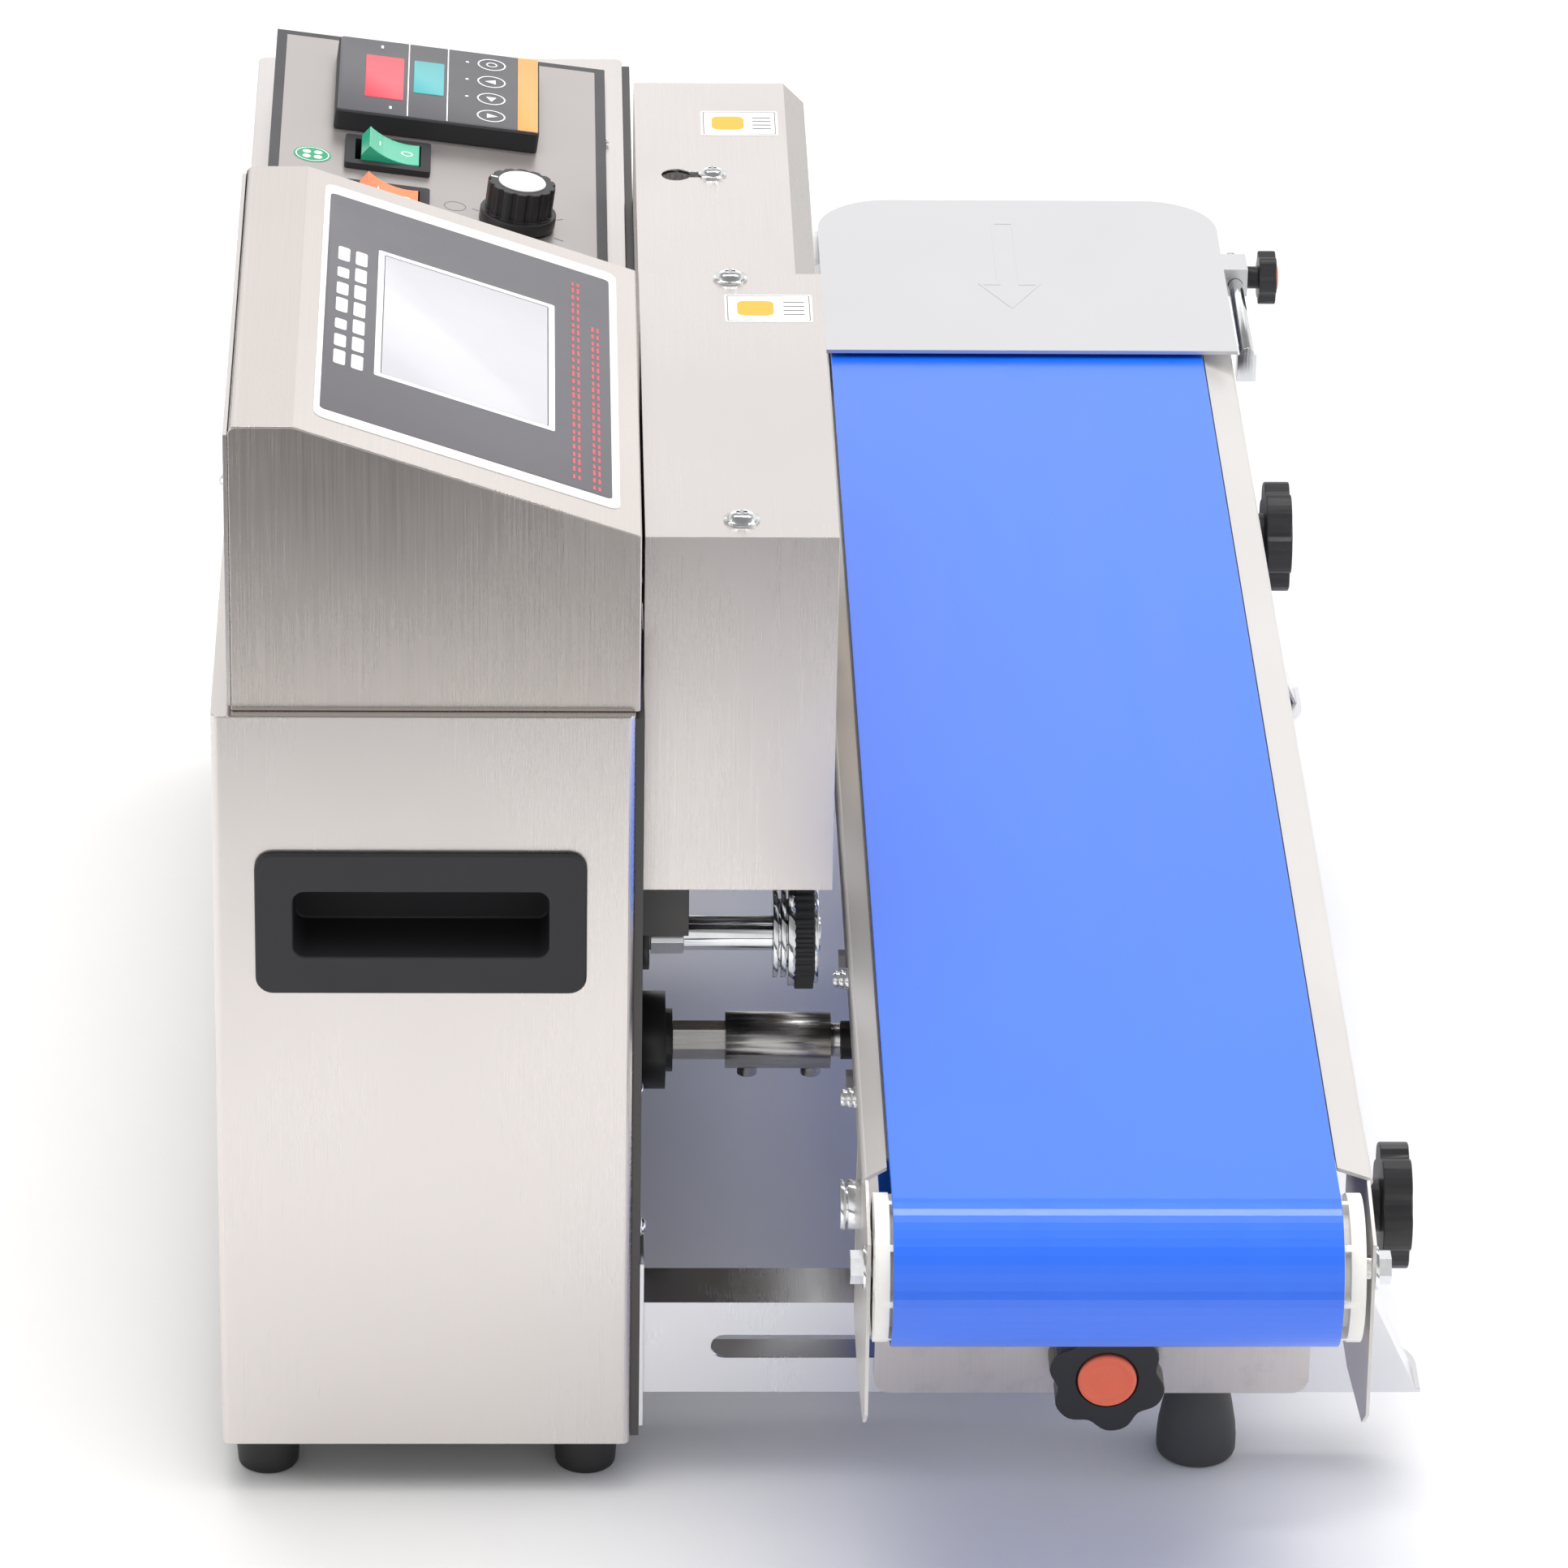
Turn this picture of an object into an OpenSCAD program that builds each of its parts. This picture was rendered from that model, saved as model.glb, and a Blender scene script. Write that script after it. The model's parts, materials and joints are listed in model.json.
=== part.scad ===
// Continuous band sealer: a cabinet with a sealing head on its side, and a belt conveyor beside it.
// The machine frame used below: X runs from the outfeed end to the infeed end, Y = 0 is the cabinet's
// side that faces the conveyor, the conveyor lies towards -Y, and Z = 0 is the table.
// place() shifts that frame so that the origin is the middle of the machine's footprint.

/* [Cabinet] */
// Length of the cabinet
cabinet_l = 580; // [560:1:600]
// Depth of the cabinet
cabinet_w = 144; // [140:1:144]
// Height of the cabinet without its feet
cabinet_h = 288; // [284:1:292]
// Height of the rubber feet
foot_h = 20; // [16:1:22]
// Thickness of the cabinet's sheet steel
sheet = 1.5; // [1:0.1:2]

/* [Control panel] */
// Length of the tilted control panel
panel_l = 316; // [300:1:320]
// Depth of the tilted control panel
panel_w = 129; // [125:1:130]
// Tilt of the control panel, in degrees
panel_tilt = 7.5; // [6:0.1:9]
// Diameter of the speed knob
speed_knob_d = 29; // [26:0.5:31]

/* [Counter box] */
// Length of the counter's display box
display_l = 220; // [210:1:226]
// Height of the display box at the rear
display_rear_h = 106; // [100:1:108]
// Height of the display box at the front
display_front_h = 66; // [60:1:70]

/* [Sealing head] */
// Width of the guard over the sealing head
guard_w = 67; // [65:1:69]
// Height of the nip between the upper and lower sealing belts
nip_z = 213; // [212:0.5:214]
// Radius of the sealing belt's wheels
belt_wheel_r = 25; // [24:0.5:26]
// Radius of the ribbed feed wheels at the outfeed end
feed_wheel_r = 19.6; // [19:0.1:20]
// Width of the sealing belts
seal_belt_w = 15; // [12:1:16]

/* [Conveyor] */
// Distance between the end rollers' axes
conveyor_c = 800; // [790:1:804]
// Width of the conveyor belt
belt_w = 150; // [146:1:152]
// Thickness of the conveyor belt
belt_t = 1.5; // [1:0.1:1.8]
// Radius of the end rollers
roller_r = 25; // [24:0.5:25.5]
// Height of the end rollers' axes
roller_z = 160; // [158:0.5:162]
// Radius of the drive roller
drive_roller_r = 18; // [17:0.5:19]
// Radius of the two snub rollers
snub_r = 14; // [13:0.5:15]

/* [Brackets] */
// Reach of the support brackets, from the cabinet's side
bracket_reach = 280; // [276:1:284]
// Height of the adjustment slots' middle
slot_z = 55; // [54:0.5:56]

/* [Hidden] */
$fn = 48;

steel = "#c9c3bf";
dark_steel = "#5b5856";
zinc = "#b9bcc0";
black = "#1c1c1e";
rubber = "#2b2b2d";
gap = 0.1;          // clearance between a belt and its wheel
cut = 1;            // how far a cutting shape runs past the face that it cuts

// Places along the machine
top_z = foot_h + cabinet_h;
belt_mid = -160;
near_x = -114;
far_x = near_x + conveyor_c;
mid_x = (near_x + far_x) / 2;
mid_y = (cabinet_w - bracket_reach) / 2;
drive_x = 130;
drive_z = 111.5;
snub_dx = 45;
snub_z = roller_z - roller_r - snub_r - 2 * gap - belt_t;

// Shafts of the sealing head, as [x, z]
shaft_r = 6;
wheel_gap = 0.3;    // half the space between the two sealing belts
seal_belt_t = 0.85;
wheel_dz = belt_wheel_r + gap + seal_belt_t + wheel_gap;
outfeed_x = 170;
infeed_x = 415;
lower_drive = [outfeed_x, nip_z - wheel_dz];
upper_drive = [outfeed_x, nip_z + wheel_dz];
lower_idler = [infeed_x, nip_z - wheel_dz];
upper_idler = [infeed_x, nip_z + wheel_dz];
feed_x = 60;
feed_gap = 0.2;
lower_feed = [feed_x, nip_z - feed_wheel_r - feed_gap];
upper_feed = [feed_x, nip_z + feed_wheel_r + feed_gap];
conveyor_drive = [drive_x, drive_z];
seal_y = -47;       // the sealing belts' side that faces the cabinet

// Gear train: the motor's gear drives the lower sealing shaft and the conveyor's shaft
module_size = 2;
head_teeth = 34;
conveyor_teeth = 25;
motor_teeth = 20;
pair_teeth = 26;
feed_teeth = 20;
head_reach = (head_teeth + motor_teeth) * module_size / 2;
conveyor_reach = (conveyor_teeth + motor_teeth) * module_size / 2;
motor_axis = circles_meet(lower_drive, head_reach, conveyor_drive, conveyor_reach);
sprocket_r = 24;
feed_sprocket_r = sprocket_r * (feed_wheel_r / (belt_wheel_r + gap + seal_belt_t / 2));
gear_y = [8, 18];   // the planes of the gears and the chain, inside the cabinet
pair_y = [22, 30];
chain_y = [34, 40];

// Conveyor's rails
rail_t = 1.2;
left_in = -78.2;    // the rails' inner faces
right_in = -246;
rail_top = 180.4;
rail_low = 157;     // lower edge of the rails' webs
flange_z = 184.2;
flange_end = 25;    // from the roller's axis to the end of the rail's top flange
bed_z = 184.6;

// Brackets and cross plates
web_x = 9;
cross_x = 6;
web_low = 36.2;
web_high = 73;
slot_r = 4.6;
slot_y = [-215, -33];
knob_y = -167;

// Feed plate
plate_x = 561;
plate_end = mid_x + conveyor_c / 2 + roller_r + gap + belt_t;
plate_z = 188.5;
rod_y_mid = -254;
rod_z = 183;
lug_x = 650;

function arc_points(c, r, a0, a1, n) =
    [for (i = [0 : n]) let (a = a0 + (a1 - a0) * i / n) [c[0] + r * cos(a), c[1] + r * sin(a)]];

// Outline of a w by h rectangle with round corners, from the origin
function round_box(w, h, r, n = 6) = concat(
    arc_points([w - r, r], r, -90, 0, n),
    arc_points([w - r, h - r], r, 0, 90, n),
    arc_points([r, h - r], r, 90, 180, n),
    arc_points([r, r], r, 180, 270, n));

// The same outline with its middle at the origin
function round_mid(w, h, r, n = 6) = [for (p = round_box(w, h, r, n)) [p[0] - w / 2, p[1] - h / 2]];

// Where two circles about a and b cross, on the right of the line from a to b
function circles_meet(a, ra, b, rb) =
    let (d = norm(b - a), e = (b - a) / d, s = (ra * ra - rb * rb + d * d) / (2 * d))
    a + e * s + [-e[1], e[0]] * sqrt(ra * ra - s * s);

// Circle of radius r with n valleys of depth d; a higher power makes the valleys narrower
function wavy_circle(r, d, n, power, steps = 12) =
    [for (i = [0 : n * steps - 1]) let (a = i * 360 / (n * steps), k = 0.5 - 0.5 * cos(n * a),
        q = r - d * pow(k, power)) [q * cos(a), q * sin(a)]];

function heading(a, b) = atan2(b[1] - a[1], b[0] - a[0]);

// Angle of one tooth of gear b, so that it meshes with gear a, which has a tooth at angle at_a
function mesh_phase(a, na, at_a, b, nb) =
    let (t = heading(a, b)) t + 180 - (360 / nb) * (0.5 - (t - at_a) * na / 360);

// Gear with straight-sided teeth, one of them at angle phase
function gear_outline(n, m, phase) =
    let (p = 360 / n, r = n * m / 2, root = r - 1.2 * m, tip = r + 0.9 * m)
    [for (i = [0 : n - 1]) for (k = [[root, -0.3], [tip, -0.11], [tip, 0.11], [root, 0.3]])
        let (a = phase + (i + k[1]) * p) [k[0] * cos(a), k[0] * sin(a)]];

// Outline of a band round two wheels
function band_line(p1, r1, p2, r2, n = 24) =
    let (t = heading(p1, p2), a = acos((r1 - r2) / norm(p2 - p1)))
    concat(arc_points(p1, r1, t + a, t + 360 - a, n), arc_points(p2, r2, t - a, t + a, n));

// One side of the conveyor belt: k is 0 for the inner side and 1 for the outer side
function belt_line(k) =
    let (inside = gap + k * belt_t, outside = gap + (1 - k) * belt_t,
        s1 = [drive_x - snub_dx, snub_z], s2 = [drive_x + snub_dx, snub_z],
        d = [drive_x, drive_z], reach = norm(d - s1),
        b = heading(s1, d) + acos((snub_r + drive_roller_r + 2 * gap + belt_t) / reach))
    concat(
        arc_points([near_x, roller_z], roller_r + inside, 270, 90, 28),
        arc_points([far_x, roller_z], roller_r + inside, 90, -90, 28),
        arc_points(s2, snub_r + outside, 90, 180 - b, 8),
        arc_points(d, drive_roller_r + inside, -b, b - 180, 14),
        arc_points(s1, snub_r + outside, b, 90, 8));

function panel_z(y) = top_z + 3 + (y - 7) * tan(panel_tilt);

// Moves the machine frame to the part's own frame
module place() {
    translate([-mid_x, -mid_y, 0]) children();
}

// Extrudes an XZ outline along Y, from y0 to y1
module along_y(y0, y1) {
    translate([0, y1, 0]) rotate([90, 0, 0]) linear_extrude(y1 - y0) children();
}

// Extrudes a YZ outline along X, from x0 to x1
module along_x(x0, x1) {
    translate([x0, 0, 0]) rotate([90, 0, 90]) linear_extrude(x1 - x0) children();
}

module rod_y(p, y0, y1, r, sides = 48) {
    translate([p[0], y1, p[1]]) rotate([90, 0, 0]) cylinder(h = y1 - y0, r = r, $fn = sides);
}

module rod_x(y, z, x0, x1, r) {
    translate([x0, y, z]) rotate([0, 90, 0]) cylinder(h = x1 - x0, r = r);
}

module mirror_x() {
    translate([mid_x, 0, 0]) mirror([1, 0, 0]) translate([-mid_x, 0, 0]) children();
}

// Flanged button-head screw with a cross recess, its head standing on z = 0
module pan_screw(r = 3.6, h = 2.2, shank = 4, shank_r = 1.62) {
    difference() {
        rotate_extrude() polygon([[0, 0], [r, 0], [r, h * 0.2], [r * 0.84, h * 0.32], [r * 0.74, h * 0.6],
            [r * 0.58, h * 0.84], [r * 0.34, h * 0.97], [0, h]]);
        for (a = [0, 90])
            rotate([0, 0, a]) translate([-r * 0.3, -r * 0.09, h * 0.55]) cube([r * 0.6, r * 0.18, h]);
    }
    translate([0, 0, -shank]) cylinder(h = shank, r = shank_r);
}

// Hex bolt head with a washer, standing out along -Y from y
module bolt_head(p, y, out = 1, r = 6.5) {
    translate([p[0], y, p[1]]) rotate([out * 90, 0, 0]) {
        cylinder(h = 1.2, r = r + 2);
        translate([0, 0, 1.2]) cylinder(h = 4.3, r = r, $fn = 6);
    }
}

// Places its children on the tilted panel, with z standing out of it
module on_panel(x, y) {
    translate([x, y, panel_z(y)]) rotate([panel_tilt, 0, 0]) children();
}

// ---- Cabinet ----

grip_y = 73;        // middle of the recessed grips
grip_z = 229.5;
grip_size = [113.5, 53.6];
pocket = [87.5, 25];
pocket_wall = 2;
pocket_d = 28;
lip = 10;           // return of the sheet round the cabinet's open side
inlet_y = 100;
inlet_z = 70;
inlet_size = [48, 28];
panel_x = 245;
panel_y = 7;
control_x = 505;    // middle of the temperature controller
control_y = 73;
control_size = [74, 79];
rocker_y = 91;
rocker_xs = [445.5, 402];
rocker_hole = [20, 25.2];
bezel_size = [28, 33];
speed_x = 398;
speed_y = 41.5;
screw_hole_r = 1.7;
side_screws = [[100, 166], [100, 108], [16, 100], [556, 100], [230, 108], [330, 108], [430, 108]];
box_screws = [[24, 384], [178, 384]];
frame_screw_xs = [313, 493];
frame_screw_z = 309.5;
rocker_pivot = -2;  // height of the rockers' pivots above the panel
rocker_tip = 16;    // how far the rockers are tipped, in degrees

module cabinet_shell() {
    color(steel) place() difference() {
        translate([0, 0, foot_h])
            linear_extrude(cabinet_h) polygon(round_box(cabinet_l, cabinet_w, 3));
        translate([sheet, sheet, foot_h - cut])
            cube([cabinet_l - 2 * sheet, cabinet_w - 2 * sheet, cabinet_h + cut - sheet]);
        translate([lip, -cut, foot_h + lip])
            cube([cabinet_l - 2 * lip, sheet + 2 * cut, cabinet_h - 2 * lip]);
        translate([-cut, grip_y - pocket[0] / 2 - pocket_wall, grip_z - pocket[1] / 2 - pocket_wall])
            cube([cabinet_l + 2 * cut, pocket[0] + 2 * pocket_wall, pocket[1] + 2 * pocket_wall]);
        translate([cabinet_l - lip, inlet_y - 15, inlet_z - 12]) cube([2 * lip, 30, 24]);
        translate([panel_x + lip, panel_y + lip, top_z - lip])
            cube([panel_l - 2 * lip, panel_w - 2 * lip, 2 * lip]);
    }
}

module side_plate() {
    color(dark_steel) place() difference() {
        translate([3, -3, foot_h + 2]) cube([cabinet_l - 6, 3, cabinet_h - 4]);
        for (p = [lower_drive, upper_drive, lower_idler, upper_idler, lower_feed, upper_feed,
                conveyor_drive])
            rod_y(p, -3 - cut, cut, 10.05);
        for (p = side_screws)
            rod_y(p, -3 - cut, cut, screw_hole_r);
    }
}

module base_plate() {
    color(steel) place() translate([sheet, sheet, foot_h])
        cube([cabinet_l - 2 * sheet, cabinet_w - 2 * sheet, sheet]);
}

module cabinet_feet() {
    color(rubber) place()
        for (x = [23, cabinet_l - 23])
            for (y = [15.6, cabinet_w - 15.6])
                translate([x, y, 0]) cylinder(h = foot_h, r1 = 10.6, r2 = 12.2);
}

// Recessed grip: a flange on the cabinet's end and a pocket behind it, facing -X from x = 0
module recess_grip() {
    translate([0, grip_y, grip_z]) difference() {
        union() {
            along_x(-2.5, 0) polygon(round_mid(grip_size[0], grip_size[1], 6));
            along_x(0, pocket_d)
                polygon(round_mid(pocket[0] + 2 * pocket_wall, pocket[1] + 2 * pocket_wall, 5));
        }
        along_x(-2.5 - cut, pocket_d - pocket_wall) polygon(round_mid(pocket[0], pocket[1], 4));
    }
}

module near_grip() {
    color(black) place() recess_grip();
}

module far_grip() {
    color(black) place() translate([cabinet_l, 0, 0]) mirror([1, 0, 0]) recess_grip();
}

module power_inlet() {
    color(black) place() translate([cabinet_l, inlet_y, inlet_z]) difference() {
        union() {
            along_x(0, 2.5) polygon(round_mid(inlet_size[0], inlet_size[1], 4));
            along_x(-22, 0) polygon(round_mid(28, 22, 3));
        }
        difference() {
            along_x(-17, 2.5 + cut) polygon(round_mid(24, 16.5, 3));
            for (k = [[-7, -2], [0, 2], [7, -2]])
                translate([-18, k[0] - 1, k[1] - 2]) cube([15, 2, 4]);
        }
        for (y = [-20, 20])
            rod_x(y, 0, -cut, 2.5 + cut, 1.7);
    }
}

// ---- Control panel ----

frame_wall = 4;

module panel_frame() {
    color("#3c3c40") place() difference() {
        along_x(panel_x, panel_x + panel_l)
            polygon([[panel_y, top_z], [panel_y + panel_w, top_z],
                [panel_y + panel_w, panel_z(panel_y + panel_w)], [panel_y, panel_z(panel_y)]]);
        translate([panel_x + frame_wall, panel_y + frame_wall, top_z - cut])
            cube([panel_l - 2 * frame_wall, panel_w - 2 * frame_wall, 50]);
        for (x = frame_screw_xs)
            rod_y([x, frame_screw_z], panel_y - cut, panel_y + frame_wall + cut, 0.68);
    }
}

module panel_plate() {
    y0 = panel_y + frame_wall;
    y1 = panel_y + panel_w - frame_wall;
    color("#a8a19c") place() difference() {
        along_x(panel_x + frame_wall, panel_x + panel_l - frame_wall)
            polygon([[y0, panel_z(y0) - 2], [y1, panel_z(y1) - 2], [y1, panel_z(y1)], [y0, panel_z(y0)]]);
        on_panel(control_x, control_y) translate([-33.2, -35.2, -5]) cube([66.4, 70.4, 10]);
        for (x = rocker_xs)
            on_panel(x, rocker_y) translate([-12, -14.8, -5]) cube([24, 29.6, 10]);
        on_panel(speed_x, speed_y) translate([0, 0, -5]) cylinder(h = 10, r = 3.4);
    }
}

module controller_case() {
    color(black) place() on_panel(control_x, control_y) {
        linear_extrude(8) polygon(round_mid(control_size[0], control_size[1], 2));
        translate([-33, -35, -40]) cube([66, 70, 40]);
    }
}

module rocker_bezels() {
    color(black) place()
        for (x = rocker_xs)
            on_panel(x, rocker_y) difference() {
                union() {
                    linear_extrude(2.5) polygon(round_mid(bezel_size[0], bezel_size[1], 1.5));
                    translate([-11.8, -14.6, -12]) cube([23.6, 29.2, 12]);
                }
                translate([-rocker_hole[0] / 2, -rocker_hole[1] / 2, -12 - cut])
                    cube([rocker_hole[0], rocker_hole[1], 15 + 2 * cut]);
                rod_x(0, rocker_pivot, -11.3, 11.3, 1.55);
            }
}

// Side view of a rocker about its pivot: its top is a shallow trough between two raised ends
function rocker_outline() =
    let (r = 27, half = 10.2, low = 6, a = asin(half / r))
    concat([[-9, -5], [9, -5], [11.8, 3.2]],
        arc_points([0, low + r], r, -90 + a, -90 - a, 10), [[-11.8, 3.2]]);

// Rocker in its bezel, tipped so that its rear end stands up
module rocker(x) {
    place() on_panel(x, rocker_y) translate([0, 0, rocker_pivot]) rotate([rocker_tip, 0, 0]) {
        along_x(-9.6, 9.6) polygon(rocker_outline());
        rod_x(0, 0, -11, 11, 1.5);
    }
}

module power_rocker() {
    color("#1f9d6c") rocker(rocker_xs[0]);
}

module heat_rocker() {
    color("#f2793a") rocker(rocker_xs[1]);
}

module speed_knob() {
    flutes = 14;
    r = speed_knob_d / 2;
    color(black) place() on_panel(speed_x, speed_y) {
        translate([0, 0, 1]) cylinder(h = 5, r = r);
        translate([0, 0, 6]) linear_extrude(11.5) polygon(wavy_circle(r - 1.7, 1.1, flutes, 4));
        translate([0, 0, -14]) cylinder(h = 15, r = 3);
    }
}

// ---- Counter's display box ----

display_x = 4;
display_y = [-1.5, 137];
slope_y = 115;      // where the flat strip ends and the slope starts

// Outline of the box, shrunk by the wall, and open at the rear when it is shrunk
function display_outline(wall) =
    let (y0 = display_y[0] + wall, y1 = display_y[1] + (wall > 0 ? cut : 0),
        low = top_z - (wall > 0 ? cut : 0), rear = top_z + display_rear_h - wall,
        front = top_z + display_front_h - wall, r = 3)
    concat([[y0, low], [y1, low]],
        wall > 0 ? [[y1, rear]] : arc_points([y1 - r, rear - r], r, 0, 90, 5),
        [[slope_y, rear], [y0, front]]);

module display_box() {
    color(steel) place() difference() {
        along_x(display_x, display_x + display_l) polygon(display_outline(0));
        along_x(display_x + sheet, display_x + display_l - sheet) polygon(display_outline(sheet));
    }
}

module display_back_plate() {
    color(steel) place() difference() {
        translate([display_x, display_y[1], top_z + 2]) cube([display_l, sheet, display_rear_h - 5]);
        for (p = box_screws)
            rod_y(p, display_y[1] - cut, display_y[1] + sheet + cut, screw_hole_r);
    }
}

// ---- Guards and fasteners ----

guard_x = [35, 255, 443];
guard_low = 223.5;
guard_top = [359, 355];
guard_in = -3;      // the guards stand on the side plate's face
keyhole = [354.7, -18, -31.5];   // the slot's X, and the Y of its round end and of its screw

// A guard's inner wall, above the side plate
module guard_wall(x0, x1, top) {
    translate([x0, guard_in - sheet, top_z + 1]) cube([x1 - x0, sheet, top - sheet / 2 - top_z - 1]);
}

module guard_near() {
    color(steel) place() {
        guard_wall(guard_x[0], guard_x[1], guard_top[0]);
        difference() {
            translate([guard_x[0], -guard_w - 2, guard_low])
                cube([guard_x[1] - guard_x[0], guard_w + 2 + guard_in, guard_top[0] - guard_low]);
            translate([guard_x[0] + sheet, -guard_w - 2 + sheet, guard_low - cut])
                cube([guard_x[1], guard_w + 2 - sheet + cut, guard_top[0] - guard_low + cut - sheet]);
            for (x = [guard_x[0] + 13.5, guard_x[1] - 4.5])
                translate([x, -36, guard_low]) cylinder(h = 200, r = 2.12);
        }
    }
}

// Outline of the far guard, which has a bevelled upper corner
function far_guard_outline(wall) =
    let (out = -guard_w - 1 + wall, low = guard_low - (wall > 0 ? cut : 0), high = guard_top[1] - wall,
        in = guard_in + (wall > 0 ? cut : 0), bevel = 8)
    [[in, low], [in, high], [out + bevel, high], [out, high - bevel], [out, low]];

module guard_far() {
    color(steel) place() {
        guard_wall(guard_x[1], guard_x[2], guard_top[1]);
        difference() {
            along_x(guard_x[1], guard_x[2]) polygon(far_guard_outline(0));
            along_x(guard_x[1] - cut, guard_x[2] - sheet) polygon(far_guard_outline(sheet));
            translate([keyhole[0], keyhole[1], guard_low]) cylinder(h = 200, r = 5.4);
            translate([keyhole[0] - 2.5, keyhole[2], guard_low])
                cube([5, keyhole[1] - keyhole[2], 200]);
            translate([keyhole[0], keyhole[2], guard_low]) cylinder(h = 200, r = 2.5);
        }
    }
}

module machine_screws() {
    color(zinc) place() {
        for (x = [guard_x[0] + 13.5, guard_x[1] - 4.5])
            translate([x, -36, guard_top[0]]) pan_screw(r = 6.2, h = 3.2, shank_r = 2.07);
        translate([keyhole[0], keyhole[2], guard_top[1]]) pan_screw(r = 5.2, h = 2.8, shank_r = 2.32);
        for (p = side_screws)
            translate([p[0], -3, p[1]]) rotate([90, 0, 0]) pan_screw();
        for (p = box_screws)
            translate([p[0], display_y[1] + sheet, p[1]]) rotate([-90, 0, 0]) pan_screw();
        for (x = frame_screw_xs)
            translate([x, panel_y, frame_screw_z]) rotate([90, 0, 0])
                pan_screw(r = 1.4, h = 1.4, shank = 3, shank_r = 0.63);
    }
}

// ---- Drive inside the cabinet ----

module gear_motor() {
    mx = motor_axis[0];
    mz = motor_axis[1];
    color("#6f7680") place() difference() {
        union() {
            translate([mx - 60, 46, mz - 45]) cube([125, 84, 90]);
            rod_x(88, mz, mx + 65, mx + 190, 40);
            translate([mx - 45, 58, foot_h + sheet]) cube([90, 60, mz - 45 - foot_h - sheet]);
        }
        rod_y(motor_axis, 45, 70, shaft_r + 0.05);
    }
}

// Gear on a shaft, with one tooth at angle phase
module spur(p, n, m, phase, ys) {
    along_y(ys[0], ys[1]) translate(p) polygon(gear_outline(n, m, phase));
}

motor_phase = mesh_phase(lower_drive, head_teeth, 0, motor_axis, motor_teeth);
conveyor_phase = mesh_phase(motor_axis, motor_teeth, motor_phase, conveyor_drive, conveyor_teeth);
pair_phase = mesh_phase(lower_drive, pair_teeth, 0, upper_drive, pair_teeth);
feed_phase = mesh_phase(lower_feed, feed_teeth, 0, upper_feed, feed_teeth);
pair_module = 2 * wheel_dz / pair_teeth;
feed_module = 2 * (feed_wheel_r + feed_gap) / feed_teeth;

module drive_gear() {
    color("#8a8d92") place() {
        spur(motor_axis, motor_teeth, module_size, motor_phase, gear_y);
        rod_y(motor_axis, 6, 66, shaft_r);
    }
}

module shaft_bearings() {
    color(black) place() {
        for (p = [lower_drive, upper_drive, lower_idler, upper_idler, lower_feed, upper_feed])
            difference() {
                union() {
                    rod_y(p, -6, -3, 13);
                    rod_y(p, -3, 4, 10);
                }
                rod_y(p, -6 - cut, 4 + cut, shaft_r + 0.05);
            }
        difference() {
            union() {
                rod_y(conveyor_drive, -13.2, -3, 17.8);
                rod_y(conveyor_drive, -15.8, -13.2, 11.5);
                rod_y(conveyor_drive, -3, 4, 10);
            }
            rod_y(conveyor_drive, -15.8 - cut, 4 + cut, shaft_r + 0.05);
        }
    }
}

module feed_chain() {
    color("#6b6b6b") place() along_y(chain_y[0], chain_y[1]) difference() {
        polygon(band_line(lower_feed, feed_sprocket_r + 3.2, lower_drive, sprocket_r + 3.2));
        polygon(band_line(lower_feed, feed_sprocket_r + 0.2, lower_drive, sprocket_r + 0.2));
    }
}

// ---- Sealing head ----

belt_y = [seal_y - seal_belt_w, seal_y];

// Belt wheel with two low flanges and its shaft
module belt_wheel(p, shaft_end) {
    rod_y(p, belt_y[0] - 1.5, shaft_end, shaft_r);
    rod_y(p, belt_y[0] + 0.5, belt_y[1] - 0.5, belt_wheel_r);
    rod_y(p, belt_y[1], -30, 11);
}

module lower_drive_wheel() {
    color("#b5b8bb") place() {
        belt_wheel(lower_drive, 44);
        spur(lower_drive, head_teeth, module_size, 0, gear_y);
        spur(lower_drive, pair_teeth, pair_module, 0, pair_y);
        rod_y(lower_drive, chain_y[0], chain_y[1], sprocket_r);
    }
}

module upper_drive_wheel() {
    color("#b5b8bb") place() {
        belt_wheel(upper_drive, 34);
        spur(upper_drive, pair_teeth, pair_module, pair_phase, pair_y);
    }
}

module lower_idler_wheel() {
    color("#b5b8bb") place() belt_wheel(lower_idler, 8);
}

module upper_idler_wheel() {
    color("#b5b8bb") place() belt_wheel(upper_idler, 8);
}

module seal_belt(a, b) {
    color("#a8855a") place() along_y(belt_y[0], belt_y[1]) difference() {
        polygon(band_line(a, belt_wheel_r + gap + seal_belt_t, b, belt_wheel_r + gap + seal_belt_t));
        polygon(band_line(a, belt_wheel_r + gap, b, belt_wheel_r + gap));
    }
}

module upper_seal_belt() {
    seal_belt(upper_drive, upper_idler);
}

module lower_seal_belt() {
    seal_belt(lower_drive, lower_idler);
}

heat_x = [300, 372];
cool_x = [216, 284];
block_h = 18;
block_clear = wheel_gap + seal_belt_t + 0.3;
pin_r = 3;

module lower_blocks() {
    z0 = nip_z - block_clear - block_h;
    color("#c4a15c") place()
        for (x = [heat_x, cool_x]) {
            translate([x[0], belt_y[0] - 1, z0]) cube([x[1] - x[0], seal_belt_w + 2, block_h]);
            for (k = [12, -12])
                rod_y([(k > 0 ? x[0] : x[1]) + k, z0 + block_h / 2], belt_y[1] + 0.9, -3, 4);
        }
}

module upper_block(x) {
    z0 = nip_z + block_clear;
    place() {
        translate([x[0], belt_y[0] - 1, z0]) cube([x[1] - x[0], seal_belt_w + 2, block_h]);
        for (k = [x[0] + 14, x[1] - 14])
            translate([k, (belt_y[0] + belt_y[1]) / 2, z0 + block_h]) cylinder(h = 29.5, r = pin_r);
    }
}

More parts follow.
